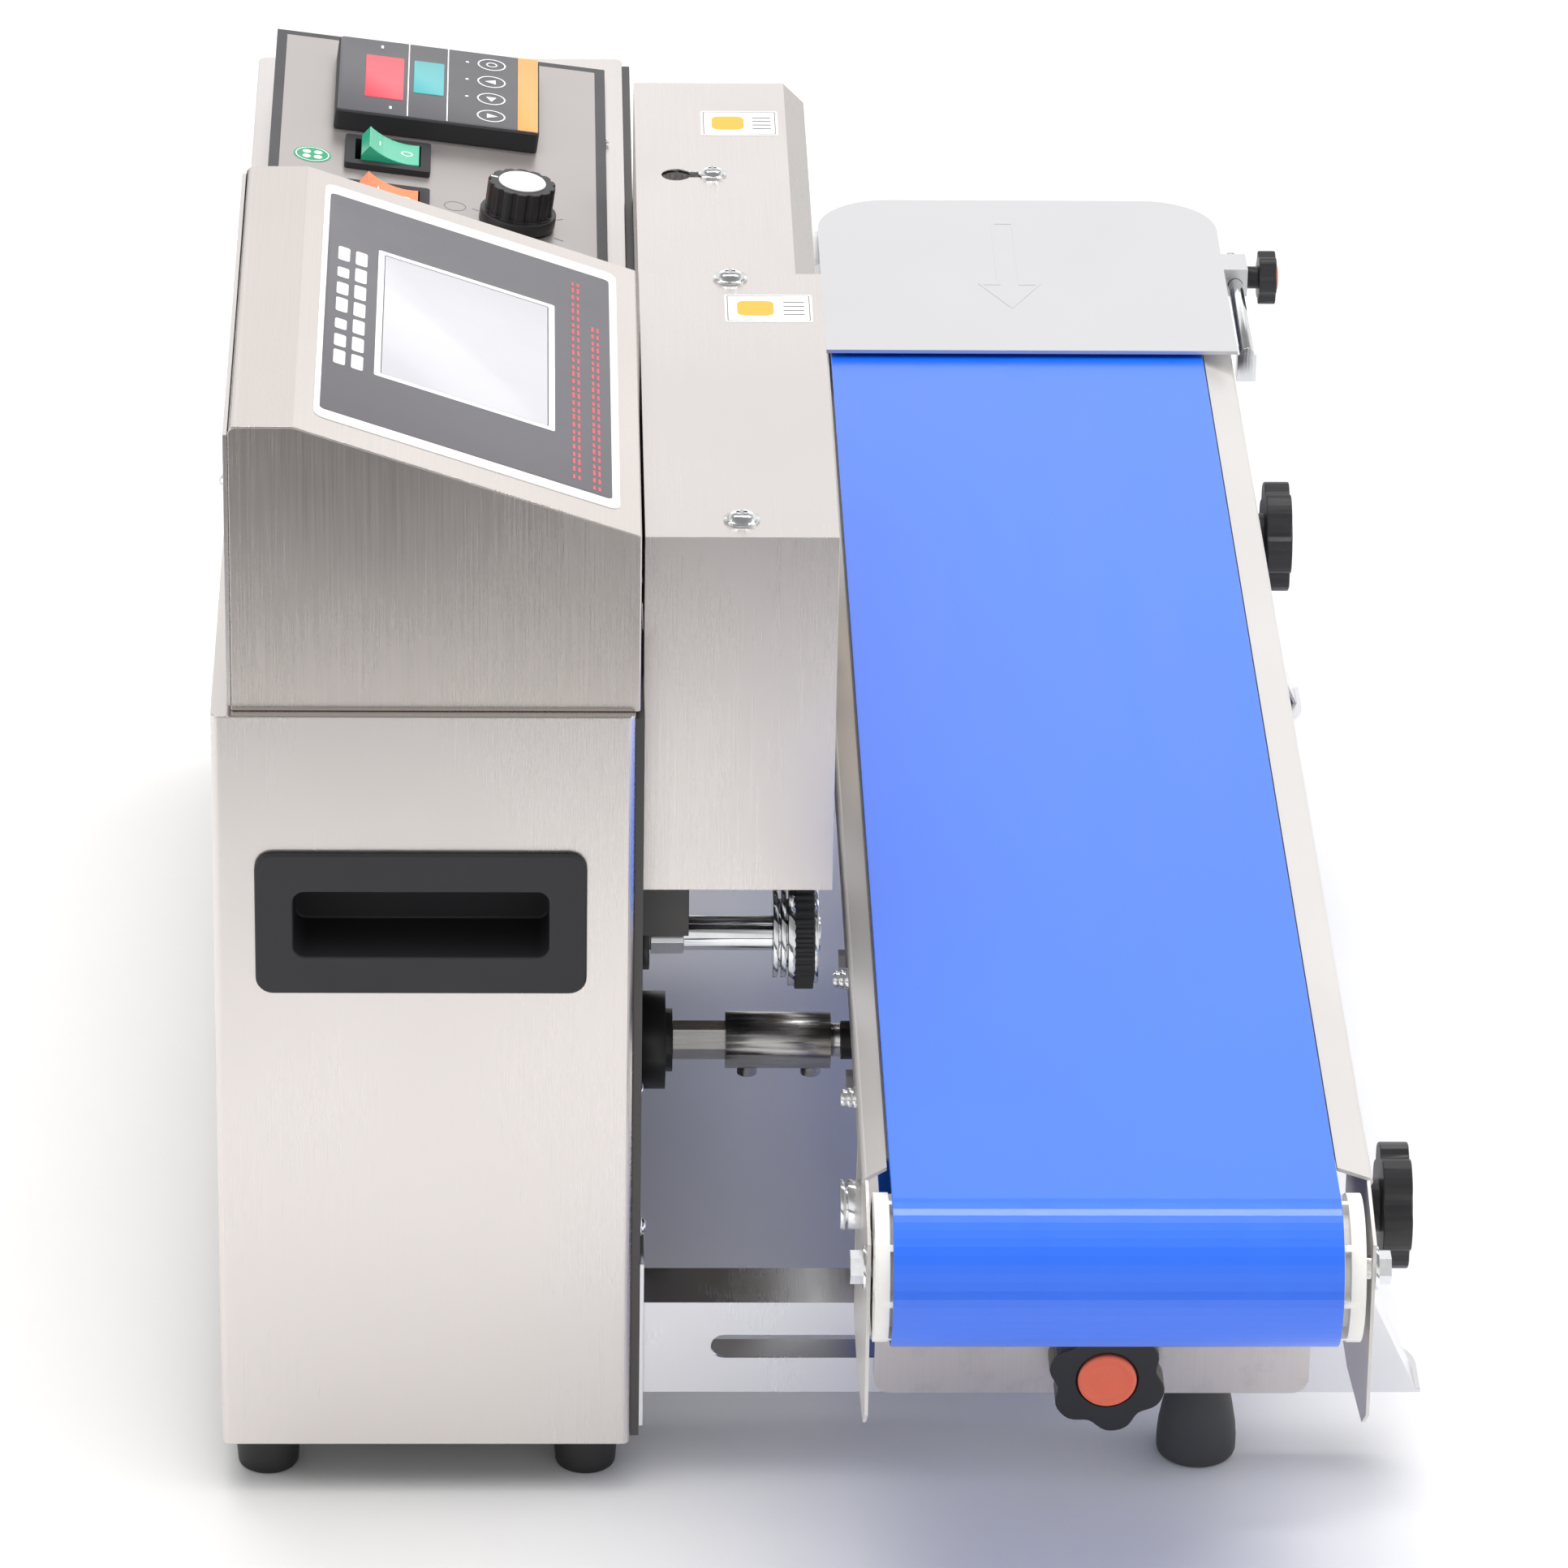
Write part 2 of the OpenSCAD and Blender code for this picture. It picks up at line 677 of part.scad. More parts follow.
module upper_heating_block() {
    color("#c4a15c") upper_block(heat_x);
}

module upper_cooling_block() {
    color("#b9bcc0") upper_block(cool_x);
}

// Bar that the upper blocks' pins slide in, above the upper belt
module press_bar() {
    z0 = 272;
    mid = (belt_y[0] + belt_y[1]) / 2;
    color(dark_steel) place() difference() {
        union() {
            translate([cool_x[0], mid - 9, z0 - 18]) cube([heat_x[1] - cool_x[0], 18, 8]);
            for (x = [cool_x[0] + 30, heat_x[1] - 40])
                translate([x, mid + 9, z0 - 18]) cube([14, -3 - mid - 9, 8]);
        }
        for (x = [cool_x[0] + 14, cool_x[1] - 14, heat_x[0] + 14, heat_x[1] - 14])
            translate([x, mid, z0 - 20]) cylinder(h = 20, r = pin_r + 0.05);
    }
}

module wheel_bracket() {
    color(dark_steel) place() {
        translate([42, -19.5, 201.5]) cube([2, 16.5, 54.5]);
        translate([37.5, -4.5, 225]) cube([4.5, 1.5, 31]);
    }
}

ring_y = [-63.4, -57];

// Shaft and steel discs of a feed wheel
module feed_wheel(p, shaft_end) {
    rod_y(p, -66, shaft_end, shaft_r);
    rod_y(p, -18, -6.5, 7.4, 6);
    for (y = [-51, -53.8])
        rod_y(p, y, y + 1.8, 15.6);
    rod_y(p, ring_y[1], -49.8, 12);
    rod_y(p, ring_y[1], -54.4, 18.5);
    rod_y(p, -65, ring_y[0], 17.5);
}

// Rubber ring with ribs across its rim
module feed_ring(p) {
    ribs = 36;
    along_y(ring_y[0], ring_y[1]) translate(p) difference() {
        polygon([for (i = [0 : 2 * ribs - 1]) for (k = [-0.3, 0.3])
            let (a = (i + k) * 180 / ribs, r = i % 2 == 0 ? feed_wheel_r : feed_wheel_r - 0.9)
                [r * cos(a), r * sin(a)]]);
        circle(r = shaft_r + 0.05);
    }
}

module lower_feed_wheel() {
    color("#c9ccd0") place() {
        feed_wheel(lower_feed, 42);
        spur(lower_feed, feed_teeth, feed_module, 0, pair_y);
        rod_y(lower_feed, chain_y[0], chain_y[1], feed_sprocket_r);
    }
}

module lower_feed_ring() {
    color(black) place() feed_ring(lower_feed);
}

module upper_feed_wheel() {
    color("#c9ccd0") place() {
        feed_wheel(upper_feed, 34);
        spur(upper_feed, feed_teeth, feed_module, feed_phase, pair_y);
        feed_ring(upper_feed);
    }
}

// ---- Brackets ----

tip = 18;           // how far the web's lower edge runs past its upper edge

module bracket() {
    color(zinc) place() difference() {
        union() {
            along_x(web_x, web_x + sheet)
                polygon([[-3, web_low], [-bracket_reach + 1, web_low],
                    [-bracket_reach + tip, web_high], [-3, web_high]]);
            along_x(web_x, web_x + 15)
                polygon([[-bracket_reach + 1, web_low], [-bracket_reach + 2.6, web_low],
                    [-bracket_reach + tip + 1.6, web_high], [-bracket_reach + tip, web_high]]);
            translate([web_x, -bracket_reach + tip, web_high - sheet])
                cube([24, bracket_reach - tip - 3, sheet]);
            translate([web_x, -bracket_reach, web_low])
                linear_extrude(sheet)
                    polygon(concat([[0, bracket_reach - 3], [0, 0]],
                        arc_points([18, 16], 16, -90, 0, 6), [[34, bracket_reach - 3]]));
            translate([web_x - 6, -4.5, 26]) cube([30, 1.5, 66]);
        }
        translate([web_x - cut, slot_y[0], slot_z - slot_r])
            cube([sheet + 2 * cut, slot_y[1] - slot_y[0], 2 * slot_r]);
        for (y = slot_y)
            rod_x(y, slot_z, web_x - cut, web_x + sheet + cut, slot_r);
        for (z = [31, 86])
            rod_y([web_x + 6, z], -5, -2, 2.2);
    }
}

module near_bracket() {
    bracket();
}

module far_bracket() {
    mirror([1, 0, 0]) bracket();
}

module bracket_feet() {
    color("#3e3e42") place()
        for (x = [web_x + 21, 2 * mid_x - web_x - 21])
            translate([x, -203, 0]) rotate_extrude()
                polygon([[0, 0], [13.6, 0], [14.2, 2], [14.2, 7], [13.8, 12], [12.8, 18], [11.6, 24],
                    [11, 30], [11, web_low], [0, web_low]]);
}

// ---- Conveyor drive ----

hex_r = 7;

module conveyor_shaft() {
    color("#a9a7a4") place() {
        rod_y(conveyor_drive, -16.2, 24, shaft_r);
        rod_y(conveyor_drive, -67, -16, hex_r, 6);
        spur(conveyor_drive, conveyor_teeth, module_size, conveyor_phase, gear_y);
    }
}

module coupling_sleeve() {
    color("#c2c5c7") place() {
        difference() {
            rod_y(conveyor_drive, -73, -35, 10.3);
            rod_y(conveyor_drive, -73, -34, hex_r + 0.3);
        }
        rod_y(conveyor_drive, -73, -71, hex_r + 0.4);
        for (y = [-43, -66])
            translate([drive_x, y, drive_z - 13.4]) cylinder(h = 5.4, r = 3.6);
    }
}

roll_y = [-233.5, -86.5];
hanger_y = [-83.8, -241.6];     // the hanger plates' lower Y, left and right
hanger_t = 1.2;

module drive_roller() {
    color("#8f9194") place() {
        rod_y(conveyor_drive, roll_y[0], roll_y[1], drive_roller_r);
        rod_y(conveyor_drive, right_in, -73, shaft_r);
        rod_y(conveyor_drive, hanger_y[0] + hanger_t + 0.4, -76.6, 6.6);
    }
}

module snub(x) {
    color("#b9bcc0") place() difference() {
        rod_y([x, snub_z], roll_y[0], roll_y[1], snub_r);
        rod_y([x, snub_z], roll_y[0] - cut, roll_y[1] + cut, 4.1);
    }
}

module near_snub_roller() {
    snub(drive_x - snub_dx);
}

module far_snub_roller() {
    snub(drive_x + snub_dx);
}

cap_y = [-242.4, -79];  // outer faces of the rollers' white end caps

// Hollow roller with ribbed plastic end caps, turning on an 8 mm axle
module end_roller(x) {
    p = [x, roller_z];
    color("#eceae4") place() difference() {
        rod_y(p, cap_y[0], cap_y[1], roller_r);
        rod_y(p, cap_y[0] - cut, cap_y[1] + cut, 4.1);
        rod_y(p, -225, -95, roller_r - 3);
        for (y = [cap_y[0] + 5, cap_y[1] - 7.2])
            difference() {
                rod_y(p, y, y + 2.2, roller_r + cut);
                rod_y(p, y - cut, y + 2.2 + cut, roller_r - 4);
                for (a = [0 : 45 : 135])
                    translate([x, 0, roller_z]) rotate([0, a, 0])
                        translate([-roller_r - 2 * cut, y - cut, -1.2])
                            cube([2 * roller_r + 4 * cut, 2.2 + 2 * cut, 2.4]);
            }
        for (y = [[cap_y[0] - cut, cap_y[0] + 3], [cap_y[1] - 3, cap_y[1] + cut]])
            difference() {
                rod_y(p, y[0], y[1], roller_r - 3);
                rod_y(p, y[0] - cut, y[1] + cut, 9);
                for (a = [0 : 60 : 120])
                    translate([x, 0, roller_z]) rotate([0, a, 0])
                        translate([-roller_r, y[0] - cut, -1]) cube([2 * roller_r, 8, 2]);
            }
    }
}

module near_roller() {
    end_roller(near_x);
}

module far_roller() {
    end_roller(far_x);
}

module conveyor_belt() {
    color("#2a6be8") place() along_y(belt_mid - belt_w / 2, belt_mid + belt_w / 2) difference() {
        polygon(belt_line(1));
        polygon(belt_line(0));
    }
}

// ---- Conveyor frame ----

// Side of a rail: a low web, and ends that run past the roller's axle and down to a tongue
function rail_side() =
    let (one = [[near_x + flange_end, rail_top - 1], [near_x - 6, 172], [near_x - 10, 108],
            [near_x + 2, 98], [near_x + 54, 88], [near_x + 86, 88], [near_x + 89, 91],
            [near_x + 89, rail_low - 4], [near_x + 93, rail_low]])
    concat(one, [for (i = [len(one) - 1 : -1 : 0]) [2 * mid_x - one[i][0], one[i][1]]]);

// The rail's side plate from y0, with an ear for the far knob and the holes for the rollers' axles
module rail_plate(y0) {
    difference() {
        along_y(y0, y0 + rail_t) {
            polygon(rail_side());
            translate([side_knob_xs[1] - 16, side_knob_z - 16]) polygon(round_box(32, 28, 8));
        }
        for (x = [near_x, far_x])
            rod_y([x, roller_z], y0 - cut, y0 + rail_t + cut, 4.05);
    }
}

// The rail's sloping top flange, from its round shoulder to the belt's edge
module rail_flange(shoulder, edge) {
    s = sign(shoulder - edge);
    along_x(near_x + flange_end, far_x - flange_end)
        polygon(concat([[shoulder, rail_top - 4]],
            [for (p = arc_points([0, 0], 2, 0, 80, 6)) [shoulder + s * (p[0] - 1), rail_top - 2 + p[1]]],
            [[edge, flange_z], [edge, flange_z - 1.4], [shoulder - s * rail_t, rail_top - 1.2],
                [shoulder - s * rail_t, rail_top - 4]]));
}

// Plate under the bed that the drive roller and the snub rollers hang in, from y0
module hanger(y0) {
    difference() {
        along_y(y0, y0 + hanger_t)
            translate([drive_x - 62, 95]) polygon(round_box(124, 83.6, 8));
        for (x = [drive_x - snub_dx, drive_x + snub_dx])
            rod_y([x, snub_z], y0 - cut, y0 + hanger_t + cut, 4.05);
        rod_y(conveyor_drive, y0 - cut, y0 + hanger_t + cut, shaft_r + 0.3);
    }
}

module left_rail() {
    color(steel) place() {
        rail_plate(left_in);
        rail_flange(left_in + rail_t, belt_mid + belt_w / 2 + 0.8);
    }
}

module right_rail() {
    color(steel) place() {
        difference() {
            rail_plate(right_in - rail_t);
            for (x = side_knob_xs)
                rod_y([x, side_knob_z], right_in - rail_t - cut, right_in + cut, 3.1);
            for (x = rail_screw_xs)
                rod_y([x, rail_screw_z], right_in - rail_t - cut, right_in + cut, screw_hole_r);
        }
        rail_flange(right_in - rail_t, belt_mid - belt_w / 2 - 0.8);
    }
}

// Bed under the belt's upper run, its hangers, and the two cross plates that carry it
module conveyor_bed() {
    low = 178;
    a = belt_mid + belt_w / 2 - 2;
    b = belt_mid - belt_w / 2 + 2;
    color("#a9a6a3") place() {
        along_x(near_x + 40, far_x - 40)
            polygon([[left_in, low], [left_in, low + 1.2], [a + 1, low + 1.2], [a, bed_z], [b, bed_z],
                [b - 1, low + 1.2], [right_in, low + 1.2], [right_in, low], [b + 0.2, low],
                [b + 1.2, bed_z - 1.2], [a - 1.2, bed_z - 1.2], [a - 0.2, low]]);
        for (y = hanger_y)
            hanger(y);
        for (m = [0, 1])
            cross_plate_side(m) difference() {
                along_x(cross_x, cross_x + sheet) {
                    translate([-240, 37.6]) polygon(round_box(154, 70, 6));
                    polygon([[left_in, 92], [left_in, low + 0.6], [left_in - 5, low + 0.6],
                        [left_in - 5, 128], [right_in + 5, 128], [right_in + 5, low + 0.6],
                        [right_in, low + 0.6], [right_in, 92]]);
                }
                rod_x(knob_y, slot_z, cross_x - cut, cross_x + sheet + cut, 4.05);
            }
    }
}

module cross_plate_side(m) {
    if (m == 0)
        children();
    else
        mirror_x() children();
}

axle_r = 4;

// Axle through two plates, with a hex head on both outer faces
module axle(p, y0, y1, r) {
    rod_y(p, y0 - 1, y1 + 1, axle_r);
    bolt_head(p, y1, -1, r);
    bolt_head(p, y0, 1, r);
}

module conveyor_bolts() {
    face = left_in + rail_t;
    color("#c6c9cc") place() {
        for (x = [near_x, far_x])
            axle([x, roller_z], right_in - rail_t, face, 5.7);
        for (x = [drive_x - snub_dx, drive_x + snub_dx])
            axle([x, snub_z], hanger_y[1], hanger_y[0] + hanger_t, 4.5);
        for (x = side_knob_xs) {
            rod_y([x, side_knob_z], face, face + 4.4, 8.6);
            rod_y([x, side_knob_z], face + 4.4, face + 5.4, 6);
            rod_y([x, side_knob_z], face + 5.4, face + 7, 8.6);
        }
        for (x = rail_stud_xs) {
            rod_y([x, rail_screw_z], face, face + 6, 2.6);
            for (k = [0 : 2])
                rod_y([x, rail_screw_z], face + k * 2.1, face + k * 2.1 + 1.5, 3.8 - k * 0.4);
        }
        for (x = rail_screw_xs)
            translate([x, right_in - rail_t, rail_screw_z]) rotate([90, 0, 0]) pan_screw(shank = 2);
    }
}

// ---- Knobs ----

// Lobed clamping knob, its face at z = h and its seat at z = 0, on a bolt below
module lobed_knob(r, h, lobes, bolt_r, bolt_l, power = 1.6) {
    difference() {
        union() {
            translate([0, 0, h * 0.4]) linear_extrude(h * 0.6)
                polygon(wavy_circle(r, r * 0.16, lobes, power));
            cylinder(h = h * 0.4, r = r * 0.42);
        }
        translate([0, 0, h - 1]) cylinder(h = 2, r = r * 0.52);
    }
    translate([0, 0, -bolt_l]) cylinder(h = bolt_l, r = bolt_r);
}

star_r = 21;
star_h = 20;
side_knob_r = 21.6;
side_knob_h = 16.5;
side_knob_xs = [-58.5, 468];
side_knob_z = 152;
rail_screw_xs = [45, 300];
rail_screw_z = 172;
rail_stud_xs = [65, -20];

module star_knob() {
    color(black) place() translate([cross_x, knob_y, slot_z]) rotate([0, -90, 0]) {
        rotate([0, 0, 10]) lobed_knob(star_r, star_h, 6, 4, 12);
        translate([0, 0, -12]) cylinder(h = 5, r = 7.5, $fn = 6);
    }
}

module near_star_knob() {
    star_knob();
}

module far_star_knob() {
    mirror([1, 0, 0]) star_knob();
}

module side_knob(x) {
    color(black) place() translate([x, right_in - rail_t, side_knob_z]) rotate([90, 0, 0])
        lobed_knob(side_knob_r, side_knob_h, 6, 3, 3, 3.5);
}

module near_side_knob() {
    side_knob(side_knob_xs[0]);
}

module far_side_knob() {
    side_knob(side_knob_xs[1]);
}

// ---- Infeed ----

module feed_plate() {
    w = 166;
    l = plate_end - plate_x;
    corner = 30;
    color("#d9d9da") place() {
        translate([plate_x, -249, plate_z]) linear_extrude(sheet)
            polygon(concat([[0, w], [0, 0]], arc_points([l - corner, corner], corner, -90, 0, 10),
                arc_points([l - corner, w - corner], corner, 0, 90, 10)));
        difference() {
            translate([lug_x - 8, -259, 178]) cube([16, 10, 10.5 + sheet]);
            rod_x(rod_y_mid, rod_z, lug_x - 8 - cut, lug_x + 8 + cut, 3.1);
            rod_y([lug_x, rod_z], -259 - cut, rod_y_mid, 1.05);
        }
    }
}

module feed_rod() {
    color("#cfd2d5") place() {
        rod_x(rod_y_mid, rod_z, 573, 669, 3);
        for (x = [577, 665])
            translate([x - 4, rod_y_mid - 4, rod_z - 12]) {
                cube([8, 8, 12]);
                translate([0, 4, 0]) cube([8, -4 - rod_y_mid + right_in - rail_t, 8]);
            }
    }
}

module feed_knob() {
    color(black) place() translate([lug_x, -259, rod_z]) rotate([90, 0, 0])
        lobed_knob(11, 12, 6, 1, 1.5);
}

module counting_switch() {
    color("#2f3336") place() {
        translate([284, left_in + rail_t, 156]) cube([40, 5, 20]);
        translate([300, left_in + rail_t + 1.2, 176]) cube([6, 3.8, 12]);
    }
}

cabinet_shell();
side_plate();
base_plate();
cabinet_feet();
near_grip();
far_grip();
panel_frame();
panel_plate();
controller_case();
rocker_bezels();
power_rocker();
heat_rocker();
speed_knob();
display_box();
display_back_plate();
guard_near();
guard_far();
machine_screws();
power_inlet();
gear_motor();
drive_gear();
shaft_bearings();
lower_blocks();
press_bar();
upper_heating_block();
upper_cooling_block();
wheel_bracket();
upper_drive_wheel();
lower_drive_wheel();
upper_idler_wheel();
lower_idler_wheel();
upper_seal_belt();
lower_seal_belt();
lower_feed_wheel();
lower_feed_ring();
upper_feed_wheel();
feed_chain();
near_bracket();
far_bracket();
bracket_feet();
conveyor_shaft();
coupling_sleeve();
drive_roller();
left_rail();
right_rail();
conveyor_bed();
conveyor_belt();
near_roller();
far_roller();
near_snub_roller();
far_snub_roller();
conveyor_bolts();
near_star_knob();
far_star_knob();
near_side_knob();
far_side_knob();
feed_plate();
feed_rod();
feed_knob();
counting_switch();
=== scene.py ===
import json
import math

import bmesh
import bpy
from mathutils import Matrix, Vector


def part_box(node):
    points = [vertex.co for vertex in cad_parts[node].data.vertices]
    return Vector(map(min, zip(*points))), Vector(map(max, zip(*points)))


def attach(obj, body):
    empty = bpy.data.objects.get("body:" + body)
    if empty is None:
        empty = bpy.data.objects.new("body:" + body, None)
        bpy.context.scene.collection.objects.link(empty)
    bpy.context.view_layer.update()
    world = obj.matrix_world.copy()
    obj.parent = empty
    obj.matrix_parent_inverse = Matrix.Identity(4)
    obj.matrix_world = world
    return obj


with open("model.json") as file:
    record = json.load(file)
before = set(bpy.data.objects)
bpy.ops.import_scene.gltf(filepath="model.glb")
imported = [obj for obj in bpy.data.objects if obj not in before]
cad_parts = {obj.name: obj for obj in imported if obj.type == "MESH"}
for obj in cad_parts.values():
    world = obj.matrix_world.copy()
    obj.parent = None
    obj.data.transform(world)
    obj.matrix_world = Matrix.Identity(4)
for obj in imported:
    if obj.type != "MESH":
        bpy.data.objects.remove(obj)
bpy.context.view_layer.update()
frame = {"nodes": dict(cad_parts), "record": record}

MM = 0.001
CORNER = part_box("cabinet_shell")[0]      # the cabinet's near corner: X = 0 and Y = 0 of the machine
PANEL_TILT = math.radians(7.5)
PANEL_EDGE = 7                           # where the panel's tilted plate starts, along Y
PANEL_THICK = 3                          # height of the plate's face over the frame's low edge
SLOPE = math.atan2(40, 116.5)            # tilt of the counter's label
LABEL_RISE = 66                          # height of the slope's lower edge over the counter's base
CONTROLLER = (505, 73)                   # middle of the temperature controller on the panel
CASE_HEIGHT = 8
SPEED_KNOB = (398, 41.5)
ROCKER_Y = 91
ROCKER_RADIUS = 27                       # radius of the trough in a rocker's top
ROCKER_TILT = math.radians(16)
SHARP_ANGLE = math.radians(35)           # edges sharper than this stay crisp in shading
BEVEL_ANGLE = math.radians(32)
FLAT_ANGLE = math.radians(0.4)           # faces closer in angle than this are joined into one


def at(x, y, z):
    """A place in the machine's own millimetres, as a point in the frame."""
    return Vector((CORNER.x + x * MM, CORNER.y + y * MM, z * MM))


def basis(origin, u, v):
    """Matrix of a flat face: u and v along it, and its z out of it."""
    u = Vector(u).normalized()
    v = Vector(v).normalized()
    n = u.cross(v)
    m = Matrix((u, v, n)).transposed().to_4x4()
    m.translation = origin
    return m


def panel_at(x, y):
    """Matrix on the control panel's plate, with u along X and v up the tilt."""
    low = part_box("panel_frame")[0]
    rise = (y - PANEL_EDGE) * math.tan(PANEL_TILT)
    origin = Vector((CORNER.x + x * MM, CORNER.y + y * MM, low.z + (PANEL_THICK + rise) * MM))
    return basis(origin, (1, 0, 0), (0, math.cos(PANEL_TILT), math.sin(PANEL_TILT)))


# ---- Materials ----

class Nodes:
    """Builds one material's node tree round its Principled shader."""

    def __init__(self, name):
        self.mat = bpy.data.materials.new(name)
        self.mat.use_nodes = True
        self.tree = self.mat.node_tree
        self.shader = self.tree.nodes["Principled BSDF"]

    def add(self, kind, **values):
        """New shader node of this kind, with its settings."""
        node = self.tree.nodes.new("ShaderNode" + kind)
        for key, value in values.items():
            setattr(node, key, value)
        return node

    def link(self, a, b):
        self.tree.links.new(a, b)

    def object_space(self, stretch=(1, 1, 1), turn=(0, 0, 0)):
        """Object coordinates in metres, scaled and turned."""
        coords = self.add("TexCoord")
        mapping = self.add("Mapping")
        mapping.inputs["Scale"].default_value = stretch
        mapping.inputs["Rotation"].default_value = turn
        self.link(coords.outputs["Object"], mapping.inputs["Vector"])
        return mapping.outputs["Vector"]

    def noise(self, vector, scale, detail=4, rough=0.55):
        node = self.add("TexNoise")
        node.inputs["Scale"].default_value = scale
        node.inputs["Detail"].default_value = detail
        node.inputs["Roughness"].default_value = rough
        self.link(vector, node.inputs["Vector"])
        return node.outputs["Fac"]

    def span(self, value, low, high, from_low=0.3, from_high=0.7):
        """Spreads a noise value, which mostly lies between 0.3 and 0.7, over low to high."""
        node = self.add("MapRange")
        node.inputs["From Min"].default_value = from_low
        node.inputs["From Max"].default_value = from_high
        node.inputs["To Min"].default_value = low
        node.inputs["To Max"].default_value = high
        self.link(value, node.inputs["Value"])
        return node.outputs["Result"]

    def math(self, operation, a, b=None):
        node = self.add("Math", operation=operation)
        for socket, value in zip(node.inputs, (a, b)):
            if value is None:
                continue
            if isinstance(value, (int, float)):
                socket.default_value = value
            else:
                self.link(value, socket)
        return node.outputs[0]

    def mix(self, factor, a, b):
        node = self.add("Mix", data_type="RGBA")
        colours = [s for s in node.inputs if s.type == "RGBA"]
        for socket, value in zip(colours, (a, b)):
            if isinstance(value, tuple):
                socket.default_value = (*value, 1)
            else:
                self.link(value, socket)
        if isinstance(factor, (int, float)):
            node.inputs[0].default_value = factor
        else:
            self.link(factor, node.inputs[0])
        return [s for s in node.outputs if s.type == "RGBA"][0]

    def bump(self, height, strength, distance, below=None):
        node = self.add("Bump")
        node.inputs["Strength"].default_value = strength
        node.inputs["Distance"].default_value = distance
        self.link(height, node.inputs["Height"])
        if below is not None:
            self.link(below, node.inputs["Normal"])
        return node.outputs["Normal"]

    def set(self, **values):
        """Sets or links the shader's sockets, and returns the material."""
        for key, value in values.items():
            socket = self.shader.inputs[key.replace("_", " ")]
            if isinstance(value, tuple):
                socket.default_value = (*value, 1)
            elif isinstance(value, (int, float)):
                socket.default_value = value
            else:
                self.link(value, socket)
        return self.mat


def shade(colour, k):
    """The colour made k times as bright."""
    return tuple(min(1, c * k) for c in colour)


def plain(name, colour, rough, metallic=0.0, spread=0.08, grain=900, bump=0.12, depth=0.00005,
          cloud=18, rough_spread=0.08, **rest):
    """Moulded plastic, rubber, paint or cast metal: clouded colour, uneven gloss and a fine grain."""
    n = Nodes(name)
    space = n.object_space()
    clouds = n.noise(space, cloud, 5)
    grains = n.noise(space, grain, 3, 0.7)
    both = n.math("ADD", n.math("MULTIPLY", clouds, 0.7), n.math("MULTIPLY", grains, 0.3))
    tint = n.mix(n.span(both, 0, 1), shade(colour, 1 - spread), shade(colour, 1 + spread))
    gloss = n.span(both, rough - rough_spread, rough + rough_spread)
    return n.set(Base_Color=tint, Roughness=gloss, Metallic=metallic,
                 Normal=n.bump(grains, bump, depth), **rest)


BRUSH_FINE = 1500                        # brush lines per metre across and along the brushing
BRUSH_LONG = 14
BRUSH_DEPTH = 0.00004
DULL_STEEL = (0.35, 0.32, 0.30)
END_FACE = 0.75                          # a face whose normal has more Y than this is brushed on end


def brushed(name, colour, rough, streak=0.5, spread=0.05, cloud=5, blotch=0.05, dirt=0.0, bump=0.4):
    """Brushed sheet metal. Two sets of lines along X and along Z, chosen by the way a face looks."""
    n = Nodes(name)
    geometry = n.add("NewGeometry")
    parts = n.add("SeparateXYZ")
    n.link(geometry.outputs["Normal"], parts.inputs[0])
    side = n.math("GREATER_THAN", n.math("ABSOLUTE", parts.outputs["Y"]), END_FACE)
    flat = n.noise(n.object_space((BRUSH_LONG, BRUSH_FINE, BRUSH_LONG)), 1, 3, 0.65)
    upright = n.noise(n.object_space((BRUSH_LONG, BRUSH_LONG, BRUSH_FINE)), 1, 3, 0.65)
    lines = n.add("Mix", data_type="FLOAT")
    n.link(side, lines.inputs[0])
    n.link(flat, lines.inputs[2])
    n.link(upright, lines.inputs[3])
    lines = lines.outputs[0]
    space = n.object_space()
    clouds = n.noise(space, cloud, 4)
    spots = n.noise(space, cloud * 9, 6, 0.65)
    tone = n.math("ADD", n.math("MULTIPLY", lines, streak), n.math("MULTIPLY", clouds, 1 - streak))
    tint = n.mix(n.span(tone, 0, 1), shade(colour, 1 - spread), shade(colour, 1 + spread))
    if dirt:
        tint = n.mix(n.span(spots, 0, dirt, 0.52, 0.75), tint, DULL_STEEL)
    gloss = n.math("ADD", n.span(lines, rough * 0.92, rough * 1.08),
                   n.span(clouds, -blotch, blotch))
    return n.set(Base_Color=tint, Roughness=gloss, Metallic=1.0,
                 Normal=n.bump(lines, bump, BRUSH_DEPTH))


STREAK_LONG = 30                         # marks per metre along a turned or drawn part's marks


def turned(name, colour, rough, axis=1, pitch=2600, drawn=False):
    """Turned metal has fine rings across the given axis; drawn metal has streaks along it."""
    n = Nodes(name)
    stretch = [pitch if drawn else STREAK_LONG] * 3
    stretch[axis] = STREAK_LONG if drawn else pitch
    rings = n.noise(n.object_space(tuple(stretch)), 1, 2, 0.6)
    clouds = n.noise(n.object_space(), 60, 4)
    tint = n.mix(n.span(clouds, 0, 1), shade(colour, 0.9), shade(colour, 1.08))
    gloss = n.math("ADD", n.span(rings, rough * 0.75, rough * 1.25), n.span(clouds, -0.03, 0.03))
    return n.set(Base_Color=tint, Roughness=gloss, Metallic=1.0,
                 Normal=n.bump(rings, 0.15 if drawn else 0.4, 0.00003))


WEAVE_THREADS = (1300, 1300, 1300)       # threads per metre in the conveyor belt's cloth
BELT_DARK = (0.003, 0.122, 0.78)
BELT_LIGHT = (0.005, 0.146, 0.86)
SPECK_COLOUR = (0.02, 0.03, 0.10)


